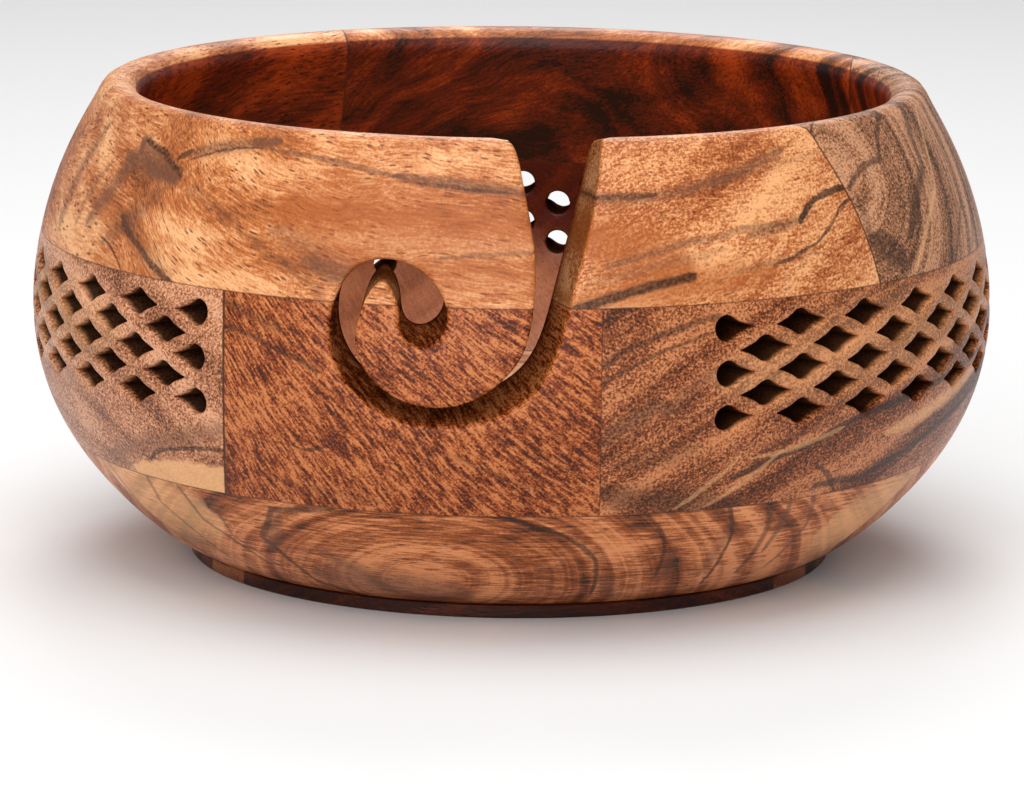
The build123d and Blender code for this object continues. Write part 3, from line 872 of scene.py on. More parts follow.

# each block: its palette, the pith that its rings run round (a point and a direction), how much the rings
# are drawn out, the fibres (a direction, or a slope and a bend along the skin), the strengths of each
# pattern, its inside palettes of painted shade and painted light, and its own streaks. A streak is a path of
# (degrees, height), then its bow, width, wander, soft, grit, colour and strength. A block that names another
# under "like" is the same wood.
# plainWood is what a block has where its own entry says nothing.
plainWood = {"squeeze": (1, 1, 1), "rays": 0.0, "streaks": [], "insideShading": ("inside", "inside")}
woods = {
    "rim_left_board": {
        "palette": "golden", "pith": (-20, -60, 130), "axis": (1, 0.1, -0.05),
        "fibre": (-0.10, -34, 0.011), "rings": (16, 0.8), "warp": 12, "fibreStrength": 0.85,
        "blotch": 0.9, "tone": 0.60, "pores": (0.8, 0.5), "stipple": 0.18,
        "streaks": [
            ([(-30, 75), (3, 73)], 0, 12.0, 5, 0.9, 0.4, "amber", 0.8),
            ([(-14, 66), (3, 65)], 0, 5.0, 5, 0.9, 0.4, "amber", 0.5),
            ([(-57, 83), (-46, 78.5)], -0.8, 3.0, 2.0, 0.5, 0.2, "brown", 0.8),
            ([(-59, 80), (-46, 77.5)], 0, 2.6, 2.5, 0.8, 0.3, "brown", 0.75),
            ([(-56, 82), (-63, 67)], 0.5, 4.0, 4.0, 0.9, 0.3, "brown", 0.75),
            ([(-48, 76), (-58, 65)], 0.5, 3.6, 4.5, 0.95, 0.4, "brown", 0.6),
            ([(-56, 83), (-46, 78.5)], 0.9, 0.8, 1.6, 0.5, 0.7, "dark", 0.95),
            ([(-48, 81.3), (-45.5, 83)], 0, 0.7, 0.8, 0.4, 0.3, "dark", 0.85),
            ([(-47, 82), (-31.5, 86.3)], 0.4, 1.9, 1.4, 0.8, 0.35, "brown", 0.75),
            ([(-36, 85.4), (-31.5, 86.2)], 0, 1.8, 1.2, 0.8, 0.3, "brown", 0.7),
            ([(-46, 81), (-34, 84.8)], 0.9, 0.3, 0.9, 0.4, 0.3, "dark", 0.7),
            ([(-33, 84.7), (-13, 81.6)], 0.7, 0.7, 1.2, 0.7, 0.3, "brown", 0.75),
            ([(-15, 82), (3, 79.6)], 0.2, 1.5, 1.6, 0.8, 0.35, "brown", 0.85),
            ([(-12, 81.2), (0, 79.8)], 0.1, 0.5, 1.2, 0.6, 0.5, "dark", 0.6),
            ([(-54.6, 70.2), (-49.5, 65.8), (-42.6, 60.6)], -0.5, 0.85, 1.8, 0.5, 0.35, "dark", 0.95),
            ([(-55, 71), (-43, 61)], -0.5, 3.0, 2.0, 0.95, 0.2, "brown", 0.45),
            ([(-58, 65.8), (-52.4, 61)], 0.8, 0.3, 1.2, 0.3, 0.2, "dark", 0.75),
            ([(-44, 77), (-30, 68.4), (-22, 62)], 0.6, 1.6, 3.5, 0.9, 0.6, "brown", 0.4),
            ([(-30, 72), (-17, 64.5)], 0.6, 3.4, 4.5, 0.95, 0.5, "brown", 0.45),
            ([(-25, 67.5), (-19, 64.8)], 0, 2.4, 2.5, 0.9, 0.4, "brown", 0.7),
            ([(-9, 69), (4, 70.5)], 0.2, 0.6, 1.2, 0.7, 0.4, "brown", 0.6),
            ([(-72, 64), (-68, 84)], 1.0, 3.2, 4.0, 0.9, 0.4, "brown", 0.65),
            ([(-66, 66), (-62, 78)], 1.0, 1.6, 3.0, 0.9, 0.4, "brown", 0.5),
            ([(-84, 63), (-78, 82)], 1.0, 3.0, 4.0, 0.9, 0.4, "brown", 0.5),
        ],
    },
    "rim_front_board": {
        "palette": "goldenRight", "pith": (0, -20, -40), "axis": (1, 0.1, 0.28),
        "fibre": (0.16, -90, 0.0), "rings": (12, 0.8), "warp": 8, "fibreStrength": 0.6,
        "blotch": 0.7, "tone": 0.62, "pores": (0.45, 0.35), "stipple": 0.40,
        "streaks": [
            ([(7, 74), (21, 66)], 0, 9.0, 4, 0.9, 0.3, "amber", 0.85),
            ([(6, 62), (32, 66)], 0, 5.0, 3, 0.9, 0.3, "amber", 0.7),
            ([(9, 79), (20, 79.5), (37, 85)], -0.4, 1.6, 2.2, 0.85, 0.35, "brown", 0.7),
            ([(9.5, 79), (18, 79.4)], 0, 0.8, 0.8, 0.7, 0.3, "dark", 0.65),
            ([(7, 60.8), (13.6, 63.6), (21.3, 65.8)], 0.1, 1.2, 0.9, 0.6, 0.25, "dark", 0.95),
            ([(29, 71.6), (38.5, 74)], 0.1, 1.4, 1.4, 0.8, 0.4, "dark", 0.6),
            ([(37, 73.4), (40.5, 76.8), (47, 78)], 0.3, 0.75, 1.5, 0.5, 0.2, "dark", 0.95),
            ([(32, 66.6), (38.9, 69.6), (43.8, 74.6)], -0.2, 0.4, 1.2, 0.5, 0.3, "dark", 0.85),
            ([(43.8, 74.6), (47.5, 76.5)], 0.2, 0.5, 1.2, 0.5, 0.3, "dark", 0.85),
            ([(11, 68), (25, 72), (34, 73.2)], 0.4, 1.1, 1.8, 0.85, 0.5, "brown", 0.7),
            ([(9, 65), (26, 70)], 0.4, 1.6, 2.0, 0.9, 0.5, "brown", 0.4),
            ([(26, 66), (40, 68)], 0.3, 0.9, 1.6, 0.9, 0.4, "brown", 0.45),
            ([(22, 80), (44, 84)], 0.3, 1.2, 2.0, 0.9, 0.4, "brown", 0.25),
        ],
    },
    "hook_tip": {"like": "rim_left_board"},
    "rim_right_block": {
        "palette": "greyBrown", "pith": (57.5, -56.5, 81), "axis": (0.906, -0.423, 0),
        "fibre": (0.906, -0.423, 0), "rings": (6.0, 1.6), "warp": 4, "fibreStrength": 0.1,
        "blotch": 0.4, "tone": 0.56, "pores": (0.4, 0.3), "stipple": 0.6, "rays": 0.1,
        "streaks": [
            ([(60, 88), (55, 81), (46.5, 77.5)], -1.2, 0.9, 0.8, 0.7, 0.3, "dark", 0.75),
            ([(68, 88), (65, 78), (56, 68)], -1.0, 1.8, 1.2, 0.8, 0.25, "dark", 0.75),
            ([(73.6, 88), (66, 74), (55.6, 62)], -0.8, 0.7, 1.0, 0.7, 0.3, "pale", 0.5),
            ([(48, 69), (53.5, 64)], 0.0, 3.6, 3.5, 0.6, 0.4, "dark", 0.8),
            ([(47.5, 76.5), (47.8, 69)], 0.2, 1.6, 1.0, 0.8, 0.4, "dark", 0.45),
            ([(76, 84), (74, 70), (66, 61)], -0.6, 0.8, 1.2, 0.8, 0.3, "dark", 0.6),
            ([(84, 84), (83, 72), (74, 62)], -0.6, 1.6, 1.5, 0.9, 0.3, "dark", 0.5),
        ],
    },
    "rim_back_block": {
        "palette": "golden", "pith": (-30, 150, 40), "axis": (1, 0, 0.4),
        "fibre": (1, 0.05, 0.3), "rings": (9, 1.2), "warp": 16, "fibreStrength": 0.7,
        "blotch": 1.2, "tone": 0.42, "pores": (0.5, 0.4), "stipple": 0.15,
    },
    "wall_left_block": {
        "palette": "tan", "pith": (-90, 0, -60), "axis": (-0.6, -0.8, 0),
        "fibre": (-0.6, -0.8, 0), "rings": (9, 0.7), "warp": 8, "fibreStrength": 0.1,
        "blotch": 0.5, "tone": 0.57, "pores": (0.5, 0.3), "stipple": 0.62, "rays": 0.1,
        "streaks": [
            ([(-57, 27), (-44, 32.5), (-34, 36.5)], 0, 3.0, 2.0, 0.95, 0.35, "brown", 0.6),
            ([(-80, 50), (-52, 50)], 0, 13.0, 3.0, 0.9, 0.5, "pale", 0.3),
            ([(-49, 27.6), (-44.6, 30.4), (-34.4, 32.2)], 0.5, 0.55, 0.8, 0.5, 0.45, "dark", 0.9),
            ([(-72, 44), (-55, 33)], 0.5, 3.0, 3.0, 0.95, 0.4, "brown", 0.5),
            ([(-60, 26), (-54, 24)], 0.5, 2.6, 2.0, 0.9, 0.3, "dark", 0.5),
        ],
        "sapwood": ([(-56, 21.5), (-30, 25.5)], 5.6, 2.0),
        "insideShading": ("insideShadedRed", "insidePaintedLight"),
    },
    "wall_front_block": {
        "palette": "redBrown", "pith": (-92, 0, 118), "axis": (0, -1, 0),
        "fibre": (0, -1, 0), "rings": (12, 0.5), "warp": 4, "fibreStrength": 0.0,
        "blotch": 0.45, "tone": 0.52, "pores": (0.35, 0.3), "stipple": 0.5, "rays": 1.9,
        "streaks": [
            ([(-34, 55), (-28, 52.6), (-22, 48.6)], 0.3, 0.8, 1.4, 0.75, 0.35, "dark", 0.75),
            ([(-36, 60), (-26, 55)], 0.0, 1.8, 2.0, 0.95, 0.4, "dark", 0.5),
            ([(-25.4, 35), (-20, 36.7)], -1.0, 0.4, 0.8, 0.5, 0.3, "dark", 0.8),
            ([(-34, 36), (-25, 35)], 0.0, 0.3, 0.8, 0.6, 0.4, "dark", 0.5),
            ([(-16, 40), (6, 27)], 0.5, 1.0, 1.6, 0.95, 0.4, "dark", 0.35),
            ([(-4, 40), (9.5, 30)], 0.5, 0.7, 1.6, 0.95, 0.4, "dark", 0.35),
            ([(-30, 28), (-14, 25)], 0.3, 1.4, 2.0, 0.95, 0.4, "dark", 0.3),
        ],
        "insideShading": ("insideShadedRed", "insidePaintedLight"),
    },
    "hook": {"like": "wall_front_block"},
    "wall_right_block": {
        "palette": "midBrown", "pith": (135, 0, -105), "axis": (0, -1, 0),
        "fibre": (0.5, -0.85, 0), "rings": (9, 1.3), "warp": 8, "fibreStrength": 0.1,
        "blotch": 0.5, "tone": 0.56, "pores": (0.5, 0.3), "stipple": 0.62, "rays": 0.1,
        "streaks": [
            # partly paler wood and partly a painted highlight standing in for the light edges round the
            # holes
            ([(24, 48), (82, 54)], 0, 13.0, 3.0, 0.9, 0.5, "pale", 0.28),
            ([(9, 50), (14, 54.6), (24, 59)], 0.3, 1.1, 1.4, 0.85, 0.3, "dark", 0.7),
            ([(9, 47), (15, 52), (23, 56)], 0.3, 0.6, 1.0, 0.8, 0.3, "dark", 0.7),
            ([(10, 37), (18, 44.5)], 1.0, 3.2, 3.0, 0.9, 0.35, "dark", 0.65),
            ([(17, 42), (24, 50)], 0.5, 2.0, 3.0, 0.95, 0.4, "brown", 0.5),
            ([(10, 28), (30, 23)], 0.0, 4.6, 3.0, 0.8, 0.3, "dark", 0.65),
            ([(12, 33), (22, 36)], 0.0, 3.0, 3.0, 0.9, 0.4, "dark", 0.4),
            ([(27, 29.6), (38, 34.7), (44, 38), (74, 43)], 0.3, 1.0, 1.3, 0.6, 0.25, "dark", 0.85),
            ([(30, 34), (44, 39)], 0.5, 1.0, 1.4, 0.9, 0.3, "dark", 0.45),
            ([(40, 25.6), (48, 25.4), (57, 29), (76, 36)], 0.3, 1.3, 1.4, 0.75, 0.25, "dark", 0.85),
            ([(52, 31), (78, 39)], 0.3, 1.0, 1.4, 0.85, 0.3, "dark", 0.6),
            ([(38.5, 30.5), (44, 24)], 0.4, 0.7, 1.2, 0.6, 0.3, "dark", 0.8),
            ([(20, 24), (27.6, 34)], -0.5, 0.8, 1.2, 0.8, 0.4, "pale", 0.4),
            ([(24, 24), (33, 34)], -0.5, 0.8, 1.2, 0.8, 0.4, "pale", 0.4),
            ([(29, 33), (42, 36.6)], -0.5, 0.8, 1.2, 0.8, 0.4, "pale", 0.4),
            ([(50, 33.5), (74, 40.5)], -0.3, 2.4, 1.4, 0.8, 0.3, "pale", 0.55),
        ],
        "insideShading": ("insideShadedRed", "insidePaintedLight"),
    },
    "wall_back_block": {
        "palette": "redBrown", "pith": (-60, 0, 110), "axis": (0, 1, 0),
        "fibre": (0, 1, 0), "rings": (10, 0.7), "warp": 6, "fibreStrength": 0.1,
        "blotch": 0.5, "tone": 0.55, "pores": (0.4, 0.3), "stipple": 0.3, "rays": 0.5,
        "insideShading": ("insideShadedRed", "insidePaintedLight"),
    },
    "floor_front_board": {
        "palette": "floor", "pith": (-14.5, 0, 9), "axis": (0, -1, 0), "squeeze": (1.75, 1, 1),
        "fibre": (-0.04, -200, 0.0), "rings": (4.5, 1.5), "warp": 3, "fibreStrength": 1.15,
        "blotch": 0.8, "tone": 0.60, "pores": (0.55, 0.4), "stipple": 0.12,
        "streaks": [
            # partly the board's pale streak and partly a painted reflection of light on the lower left
            ([(-76, 19), (-42, 17)], 0, 13.0, 4.0, 0.8, 0.2, "pale", 0.6),
            ([(-30, 8), (-6, 5)], 0, 7.0, 3.0, 0.9, 0.3, "brown", 0.7),
            ([(48, 14), (82, 20)], 0, 14.0, 4.0, 0.75, 0.2, "pale", 0.65),
            ([(-22, 23.6), (-31, 21.8), (-35.2, 15), (-31.5, 5.5), (-20, -1)], 0.4, 1.0, 0.7, 0.7, 0.25,
             "dark", 0.8),
            ([(-30, 21), (-36, 12)], 0.6, 3.0, 1.5, 0.95, 0.2, "brown", 0.6),
            ([(-27, 14), (-18, 5)], 0.6, 3.2, 1.5, 0.95, 0.2, "brown", 0.5),
            ([(-2, 23.6), (7, 19.4), (11.6, 14), (12.8, 6)], 0.4, 0.8, 0.8, 0.7, 0.2, "dark", 0.85),
            ([(13, 10), (17, 4)], 0, 2.2, 1.5, 0.9, 0.2, "brown", 0.6),
            ([(16.4, 24), (20.4, 17.6), (21.6, 9)], 0.3, 0.7, 0.8, 0.7, 0.3, "dark", 0.75),
            ([(22, 16), (23, 8)], 0.3, 1.8, 1.2, 0.9, 0.3, "brown", 0.6),
            ([(27.6, 24), (30, 17.6), (31.2, 6)], 0.2, 0.7, 0.8, 0.7, 0.3, "dark", 0.85),
            ([(29, 20), (29, 8)], 0.3, 2.2, 1.2, 0.9, 0.3, "brown", 0.5),
            ([(33, 24.6), (35.6, 17.6), (36.4, 8)], 0.2, 1.2, 0.8, 0.8, 0.3, "dark", 0.7),
            ([(37, 24), (38, 12)], 0.2, 1.2, 1.2, 0.8, 0.3, "brown", 0.8),
            ([(40.4, 24), (42.8, 17), (42, 8)], 0.2, 0.9, 0.8, 0.8, 0.3, "brown", 0.75),
            ([(-52, 24), (-53, 18), (-47.5, 7)], 0.3, 0.8, 1.0, 0.8, 0.3, "dark", 0.6),
            ([(-46, 23), (-45, 16.5), (-38, 8)], 0.3, 0.8, 1.0, 0.8, 0.3, "dark", 0.6),
            ([(-62, 23), (-62, 14), (-56, 6)], 0.3, 1.0, 1.0, 0.9, 0.3, "brown", 0.6),
            ([(-41, 22), (-41, 14), (-35, 6)], 0.3, 0.7, 1.0, 0.9, 0.3, "brown", 0.7),
            ([(-30, 3), (10, 4.5)], 0.3, 0.8, 0.8, 0.9, 0.4, "dark", 0.4),
        ],
        "insideShading": ("insideFloorPaintedLight", "insideFloorPaintedLight"),
    },
    "floor_middle_board": {
        "palette": "floor", "pith": (0, 0, 60), "axis": (1, 0, 0.05),
        "fibre": (1, 0.03, 0.02), "rings": (5, 1.3), "warp": 6, "fibreStrength": 1.0,
        "blotch": 0.6, "tone": 0.66, "pores": (0.55, 0.4), "stipple": 0.1,
        "insideShading": ("insideFloorPaintedLight", "insideFloorPaintedLight"),
    },
    "floor_back_board": {
        "palette": "floor", "pith": (20, 60, -40), "axis": (1, 0.1, 0),
        "fibre": (1, 0.06, 0.02), "rings": (5, 1.3), "warp": 6, "fibreStrength": 1.0,
        "blotch": 0.6, "tone": 0.6, "pores": (0.55, 0.4), "stipple": 0.1,
        "insideShading": ("insideFloorPaintedLight", "insideFloorPaintedLight"),
    },
    "foot_front_strip": {
        "palette": "foot", "pith": (0, -20, 40), "axis": (1, 0.1, 0),
        "fibre": (1, 0.1, 0), "rings": (5, 1.2), "warp": 5, "fibreStrength": 1.0,
        "blotch": 0.9, "tone": 0.5, "pores": (0.5, 0.4), "stipple": 0.1,
    },
    "foot_pale_strip": {
        "palette": "footPale", "pith": (0, -20, 40), "axis": (1, 0.05, 0),
        "fibre": (1, 0.05, 0), "rings": (5, 0.8), "warp": 5, "fibreStrength": 0.8,
        "blotch": 0.5, "tone": 0.6, "pores": (0.4, 0.3), "stipple": 0.1,
    },
    "foot_back_board": {
        "palette": "foot", "pith": (0, 40, -40), "axis": (1, -0.05, 0),
        "fibre": (1, -0.05, 0), "rings": (5, 1.2), "warp": 5, "fibreStrength": 1.0,
        "blotch": 0.9, "tone": 0.6, "pores": (0.5, 0.4), "stipple": 0.1,
    },
}

# painted shade: how far the slot's and the holes' cut faces darken, over these depths through the wall, as
# if shaded inside the cut
cutFaceShade = {"slot": 0.5, "holes": 0.92, "depth": (0.02, 0.16), "colour": (0.022, 0.007, 0.003, 1)}
insideEdge = 86.8             # the inside's painted shade begins below this height, where the lip turns down
insideBlur = 0.25
insideDepth = (0.7, 0.95)     # and over these depths through the wall
paintedLightBelow = (50.0, 34.0)       # painted light: the inside grows lighter between these heights, going down
glueColour = (0.05, 0.016, 0.006, 1)
finish = {"gloss": 0.24, "bump": 0.4, "bumpHeight": 0.00025}


# a block's own glue lines: a point on each joint, the direction across it, width and strength
def jointsOf(node):
    def along(key):
        x, y, angle = jointLines[key]
        turn = math.radians(angle)
        return ((x, y, 0), (-math.sin(turn), math.cos(turn), 0), 0.26, 0.85)

    rimLow = ((0, 0, bowlShape["rimJoint"]), (0, 0, 1), 0.2, 0.6)
    wallLow = ((0, 0, bowlShape["bottomJoint"]), (0, 0, 1), 0.2, 0.6)
    wallLeft = ((jointLines["wallLeft"], 0, 0), (1, 0, 0), 0.30, 0.95)
    wallRight = ((jointLines["wallRight"], 0, 0), (1, 0, 0), 0.16, 0.6)
    sides = {
        "rim_left_board": [rimLow, along("rimLeft")],
        "rim_front_board": [rimLow, along("rimFront")],
        "hook_tip": [rimLow],
        "rim_right_block": [rimLow, along("rimFront"), along("rimRight")],
        "rim_back_block": [rimLow, along("rimLeft"), along("rimRight")],
    }
    if node in sides:
        return sides[node]
    if node.startswith("foot"):
        return []
    if node.startswith("floor"):
        return [wallLow] + [((0, y, 0), (0, 1, 0), 0.2, 0.7) for y in jointLines["floor"]]
    return [rimLow, wallLow, wallLeft, wallRight]


# the turn that carries +Z to a direction
def unitTurn(direction):
    return tuple(Vector(direction).to_track_quat("Z", "Y").to_euler())


# degrees and height as an arc at skinRadius and a height
def onSkin(place):
    return (math.radians(place[0]) * skinRadius, place[1], 0)


skinBendEnd = 45.0     # the fibres bend no further than this, mm past the start


# fibres along the skin: height less a slope times the arc, and less the square of the arc past a start
def skinGrain(tree, skin, slope, start, bend):
    parts = put(tree, "ShaderNodeSeparateXYZ", {0: skin}).outputs
    past = calc(tree, "MAXIMUM", calc(tree, "SUBTRACT", start, parts[0]), 0.0)
    past = calc(tree, "MINIMUM", past, skinBendEnd)
    drop = calc(tree, "MULTIPLY", calc(tree, "MULTIPLY", past, past), bend)
    tilted = calc(tree, "SUBTRACT", parts[1], calc(tree, "MULTIPLY", parts[0], slope))
    across = calc(tree, "SUBTRACT", tilted, drop)
    return put(tree, "ShaderNodeCombineXYZ", {0: across, 1: parts[2], 2: parts[0]}).outputs[0]


# a streak along a path: the largest of its stretches' masks
def streakMask(tree, skin, path, bow, width, wander, soft, grit):
    total = None
    for start, end in zip(path[:-1], path[1:]):
        mask = useGroup(tree, streakGroup, {
            "Skin": skin["Skin"], "Shake": skin["Shake"], "Gritty": skin["Gritty"],
            "From": onSkin(start), "To": onSkin(end), "Bow": bow, "Width": width,
            "Taper": 1.0 if len(path) == 2 else 0.25, "Wander": wander, "Soft": soft, "Grit": grit})["Mask"]
        total = mask if total is None else calc(tree, "MAXIMUM", total, mask)
    return total


# a palette as the wood group's inputs
def tonesFor(name):
    return dict(zip(("Pale", "Middle", "Dark"), palettes[name]))


# one block's wood, or its cut wood with painted shade: outer tone with streaks, inside tone of painted shade
# and painted light by depth and height, glue lines
def woodFor(name, node, cut=None):
    wood = {**plainWood, **woods[woods[node].get("like", node)]}
    material = bpy.data.materials.new(name)
    material.use_nodes = True
    tree = material.node_tree
    place = put(tree, "ShaderNodeTexCoord").outputs["Object"]
    skin = useGroup(tree, skinGroup, {"Place": place})
    rings = put(tree, "ShaderNodeMapping", {
        "Vector": skin["Millimetres"], "Location": wood["pith"], "Rotation": unitTurn(wood["axis"])},
        vector_type="TEXTURE").outputs[0]
    rings = vector(tree, "DIVIDE", rings, wood["squeeze"])
    if abs(wood["fibre"][1]) > 1:
        grain = skinGrain(tree, skin["Skin"], *wood["fibre"])
    else:
        grain = put(tree, "ShaderNodeMapping", {
            "Vector": skin["Millimetres"], "Rotation": unitTurn(wood["fibre"])},
            vector_type="TEXTURE").outputs[0]
    values = {"Rings Place": rings, "Grain Place": grain,
              "Ring Spacing": wood["rings"][0], "Ring Strength": wood["rings"][1], "Warp": wood["warp"],
              "Fibre Strength": wood["fibreStrength"], "Blotch Strength": wood["blotch"],
              "Tone": wood["tone"], "Pore Strength": wood["pores"][0], "Pore Share": wood["pores"][1],
              "Stipple Strength": wood["stipple"], "Ray Strength": wood["rays"]}
    outside = useGroup(tree, woodGroup, {**values, **tonesFor(wood["palette"])})
    tint = outside["Colour"]
    if "sapwood" in wood:
        path, width, wander = wood["sapwood"]
        mask = streakMask(tree, skin, path, 0.0, width, wander, 0.2, 0.1)
        pale = blended(tree, 0.8, tint, markColours["pale"])
        tint = blended(tree, mask, tint, pale)
    for path, bow, width, wander, soft, grit, ink, strength in wood["streaks"]:
        mask = streakMask(tree, skin, path, bow, width, wander, soft, grit)
        tint = blended(tree, calc(tree, "MULTIPLY", mask, strength), tint, markColours[ink])
    # painted shade: below the lip and deep in the wall, the colour turns to a darker inside tone as if in
    # shade
    if not node.startswith("foot"):
        height = put(tree, "ShaderNodeSeparateXYZ", {0: skin["Millimetres"]}).outputs[2]
        high, low = wood["insideShading"]
        if high == low:
            tones = tonesFor(high)
        else:
            # painted light: lower down, the inside tone turns lighter as if lit from above
            lit = ranged(tree, height, *paintedLightBelow)
            tones = {key: blended(tree, lit, tonesFor(high)[key], tonesFor(low)[key])
                     for key in ("Pale", "Middle", "Dark")}
        inside = useGroup(tree, woodGroup, {**values, **tones, "Stipple Strength": 0.15})
        depth = put(tree, "ShaderNodeAttribute", attribute_name="depth").outputs["Fac"]
        insideShadeMask = calc(tree, "MULTIPLY", ranged(tree, depth, *insideDepth),
                      ranged(tree, height, insideEdge + insideBlur, insideEdge - insideBlur))
        tint = blended(tree, insideShadeMask, tint, inside["Colour"])
    for point, across, width, strength in jointsOf(node):
        mask = useGroup(tree, glueGroup, {"Millimetres": skin["Millimetres"], "Point": point,
                                          "Across": across, "Width": width})["Mask"]
        tint = blended(tree, calc(tree, "MULTIPLY", mask, strength), tint, glueColour)
    shader = tree.nodes["Principled BSDF"]
    if cut:
        # painted shade: the cut faces darken deeper into the wall
        depth = put(tree, "ShaderNodeAttribute", attribute_name="depth").outputs["Fac"]
        dark = ranged(tree, depth, *cutFaceShade["depth"], 0.0, cutFaceShade[cut])
        tint = blended(tree, dark, tint, cutFaceShade["colour"])
    tree.links.new(tint, shader.inputs["Base Color"])
    tree.links.new(outside["Roughness"], shader.inputs["Roughness"])
    bump = put(tree, "ShaderNodeBump", {"Strength": finish["bump"],
                                         "Distance": finish["bumpHeight"], "Height": outside["Height"]})
    tree.links.new(bump.outputs[0], shader.inputs["Normal"])
    shader.inputs["Specular IOR Level"].default_value = 0.0 if cut else finish["gloss"]
    return material


# the part of a ring that is left when everything behind the middle and left of a joint goes
def rightOfJoint(source, joint, pick):
    x, y, angle = joint
    turn = math.radians(angle)
    across = Vector((-math.sin(turn), math.cos(turn), 0))
    point = Vector((x, y, 0)) * mm
    bm = source.copy()
    rear = [f for f in bm.faces if all(v.co.y > 0 for v in f.verts)]
    edges = {e for f in rear for e in f.edges}
    points = {v for f in rear for v in f.verts}
    bmesh.ops.bisect_plane(bm, geom=rear + list(edges) + list(points), dist=1e-7,
                           plane_co=point, plane_no=across)
    gone = [v for v in bm.verts if v.co.y > 0 and (v.co - point).dot(across) > 1e-6]
    bmesh.ops.delete(bm, geom=gone, context="VERTS")
    block = nearestPart(bm, pick)
    rim = [e for e in block.edges if e.is_boundary]
    bmesh.ops.triangle_fill(block, use_beauty=True, use_dissolve=False, edges=rim, normal=across)
    return block


# the wall shell parted by its glue lines into the rim and wall blocks, the hook and its tip
def buildBlocks():
    high = bowlShape["rimJoint"]
    position, faces = buildWallShell()
    wall = closedMesh(position, faces)
    rim = sliced(wall, (0, 0, high), (0, 0, 1))
    middle = sliced(wall, (0, 0, high), (0, 0, -1))
    behind = besideJoint(rim, jointLines["rimFront"], 1)
    ahead = besideJoint(rim, jointLines["rimFront"], -1)
    leftOfRight = besideJoint(behind, jointLines["rimRight"], 1)
    leftPlank = besideJoint(rim, jointLines["rimLeft"], 1)
    strip = sliced(sliced(wall, (jointLines["wallLeft"], 0, 0), (1, 0, 0)),
                   (jointLines["wallRight"], 0, 0), (-1, 0, 0))
    strip = sliced(strip, (0, 0, high), (0, 0, -1))
    return {
        "rim_left_board": nearestPart(leftPlank, (-75, 0, 80)),
        "rim_front_board": nearestPart(ahead, (40, -70, 75)),
        "rim_right_block": rightOfJoint(behind, jointLines["rimRight"], (80, 0, 75)),
        "rim_back_block": nearestPart(besideJoint(leftOfRight, jointLines["rimLeft"], -1), (0, 80, 75)),
        "hook_tip": nearestPart(rim, (-22.4, -83.5, 62.5)),
        "wall_left_block": sliced(middle, (jointLines["wallLeft"], 0, 0), (-1, 0, 0)),
        "wall_right_block": sliced(middle, (jointLines["wallRight"], 0, 0), (1, 0, 0)),
        "wall_front_block": nearestPart(strip, (0, -84, 26)),
        "wall_back_block": nearestPart(strip, (0, 84, 30)),
        "hook": nearestPart(strip, (-8, -88, 50)),
    }


turnedDivision = 360     # points round a turned disc
middleRadius = 30.0      # an extra ring on flat faces, so that their triangles aren't too long


# a disc cut by two glue lines into its front, middle and back boards
def boards(disc, lines, names):
    near, far = lines
    front, middle, back = names
    return {
        front: sliced(disc, (0, near, 0), (0, -1, 0)),
        middle: sliced(sliced(disc, (0, near, 0), (0, 1, 0)), (0, far, 0), (0, -1, 0)),
        back: sliced(disc, (0, far, 0), (0, 1, 0)),
    }


# the bottom course: the outline from the foot up to the glue line, turned and cut into boards
def floorBoards():
    low, high = bowlShape["footHeight"], bowlShape["bottomJoint"]
    footEdge = bowlShape["footRadius"] - bowlShape["footEase"]
    outer = outerLine[outerLine[:, 1] < high][::4]
    inner = innerLine[innerLine[:, 1] < high][::5]
    outline = np.concatenate([[(0, low)], [(middleRadius, low)], [(footEdge, low)], outer,
                              [(radiusAtHeight(high, False), high)],
                              [(radiusAtHeight(high, True), high)], inner])
    outline[-1] = (0, bowlShape["floorTop"])
    course = closedMesh(*buildTurned(outline, turnedDivision))
    names = ("floor_front_board", "floor_middle_board", "floor_back_board")
    return boards(course, jointLines["floor"], names)


# the foot: a bevelled disc cut into strips
def footStrips():
    radius, high, ease = bowlShape["footRadius"], bowlShape["footHeight"], bowlShape["footEase"]
    outline = np.array([(0, 0), (middleRadius, 0), (radius - ease, 0), (radius, ease), (radius, high - ease),
                        (radius - ease, high), (middleRadius, high), (0, high)], float)
    disc = closedMesh(*buildTurned(outline, turnedDivision))
    return boards(disc, jointLines["foot"], ("foot_front_strip", "foot_pale_strip", "foot_back_board"))


blocks = {**buildBlocks(), **floorBoards(), **footStrips()}
for node, bm in blocks.items():
    words = ("hook_tongue" if node == "hook" else node).split("_")     # "hook" is the CAD node's own name
    name = words[0] + "".join(w.capitalize() for w in words[1:])
    finishPiece(bm, name, node)
print("pieces:", len(blocks))


# camera a little above the rim: lens, distance and height in mm, angles in degrees
cameraSetup = {
    "lens": 198.2,
    "distance": 1053.5,
    "height": 44.0,
    "lookFrom": 10.433,
    "pitch": 11.306,
    "roll": 0.563,
    "shift": 0.0014,
}


# stands the camera off at its distance and look angle, then tips and rolls its axes
def placeCamera(setup):
    data = bpy.data.cameras.new("camera")
    data.sensor_width = 36
    data.lens = setup["lens"]
    data.shift_x = setup["shift"]
    data.clip_start = 0.05
    data.clip_end = 20
    camera = bpy.data.objects.new("camera", data)
    bpy.context.scene.collection.objects.link(camera)
    look, pitch, roll = (math.radians(setup[k]) for k in ("lookFrom", "pitch", "roll"))
    away = setup["distance"] * mm
    camera.location = (0, -away * math.cos(look), setup["height"] * mm + away * math.sin(look))
    right = Vector((1, 0, 0))
    up = Vector((0, math.sin(pitch), math.cos(pitch)))
    toLens = Vector((0, -math.cos(pitch), math.sin(pitch)))
    right, up = (right * math.cos(roll) + up * math.sin(roll),
                 up * math.cos(roll) - right * math.sin(roll))
    camera.rotation_euler = Matrix((right, up, toLens)).transposed().to_euler()
    bpy.context.scene.camera = camera
    print("camera placed")


placeCamera(cameraSetup)
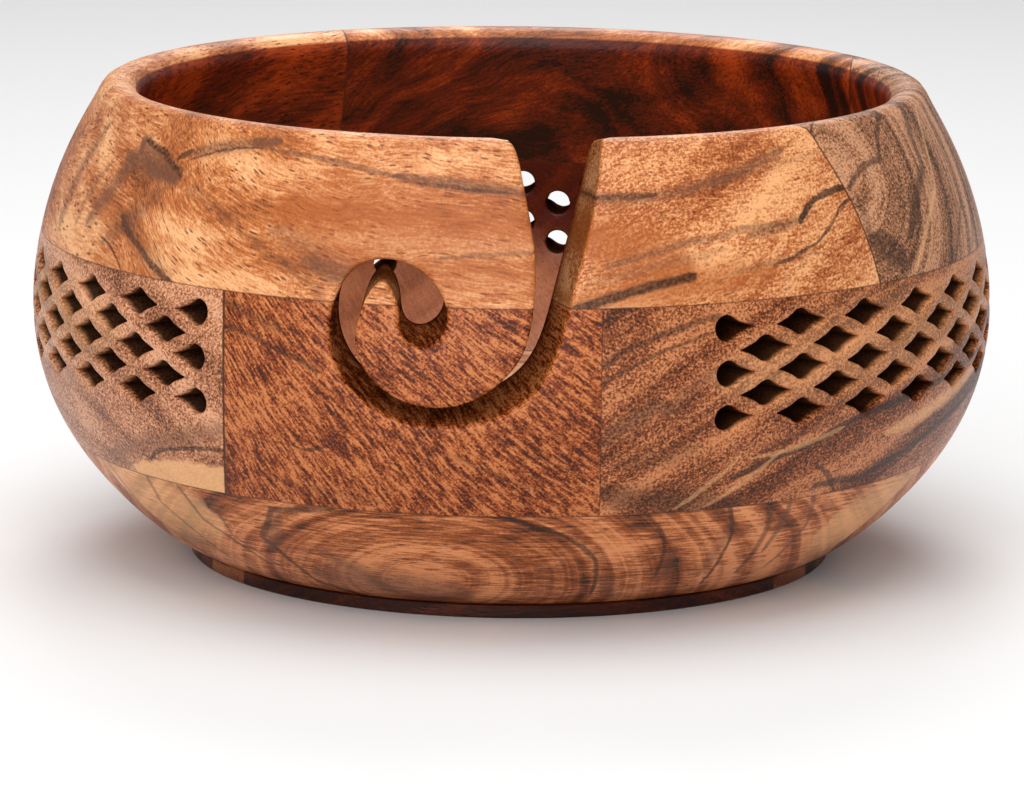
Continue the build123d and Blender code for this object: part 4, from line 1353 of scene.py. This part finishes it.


# studio: a pale floor with painted shade that darkens it towards the back, a white surround, and soft lights
# with their places, sizes and powers, all aimed at one place, in metres
studio = {
    "floorHalf": 6,
    "aim": (0, 0, 0.045),
    "nearFloor": (0.76, 0.76, 0.76, 1),
    "farFloor": (0.47, 0.47, 0.47, 1),
    "fadeFrom": 0.05,
    "fadeTo": 1.3,
    "surround": 0.39,
    "front": ((-0.35, -1.5, 0.85), 2.2, 26.0),
    "above": ((0.0, -0.1, 1.4), 1.4, 13.0),
    "back": ((0.0, 1.2, 1.1), 0.7, 8.5),
}


# a round soft light turned to face the bowl
def softLight(name, place, size, power):
    data = bpy.data.lights.new(name, "AREA")
    data.shape = "DISK"
    data.size = size
    data.energy = power
    light = bpy.data.objects.new(name, data)
    bpy.context.scene.collection.objects.link(light)
    light.location = place
    aim = Vector(studio["aim"]) - Vector(place)
    light.rotation_euler = aim.to_track_quat("-Z", "Y").to_euler()


# floor, surround and lights
def buildStage(setup):
    mesh = bpy.data.meshes.new("studioFloor")
    half = setup["floorHalf"]
    mesh.from_pydata([(-half, -half, 0), (half, -half, 0), (half, half, 0), (-half, half, 0)], [],
                     [(0, 1, 2, 3)])
    floor = bpy.data.objects.new("studioFloor", mesh)
    bpy.context.scene.collection.objects.link(floor)
    material = bpy.data.materials.new("studioFloor")
    material.use_nodes = True
    tree = material.node_tree
    shader = tree.nodes["Principled BSDF"]
    place = put(tree, "ShaderNodeTexCoord").outputs["Object"]
    # painted shade: the floor's colour darkens towards the back, as light falling off would
    back = put(tree, "ShaderNodeSeparateXYZ", {0: place}).outputs[1]
    paintedFalloff = ranged(tree, back, setup["fadeFrom"], setup["fadeTo"])
    tree.links.new(blended(tree, paintedFalloff, setup["nearFloor"], setup["farFloor"]), shader.inputs["Base Color"])
    shader.inputs["Roughness"].default_value = 0.9
    shader.inputs["Specular IOR Level"].default_value = 0.1
    mesh.materials.append(material)
    world = bpy.data.worlds.new("studio")
    world.use_nodes = True
    world.node_tree.nodes["Background"].inputs["Color"].default_value = (1, 1, 1, 1)
    world.node_tree.nodes["Background"].inputs["Strength"].default_value = setup["surround"]
    bpy.context.scene.world = world
    for name in ("front", "above", "back"):
        softLight(name, *setup[name])
    bpy.context.scene.view_settings.view_transform = "Standard"
    print("stage built")


buildStage(studio)
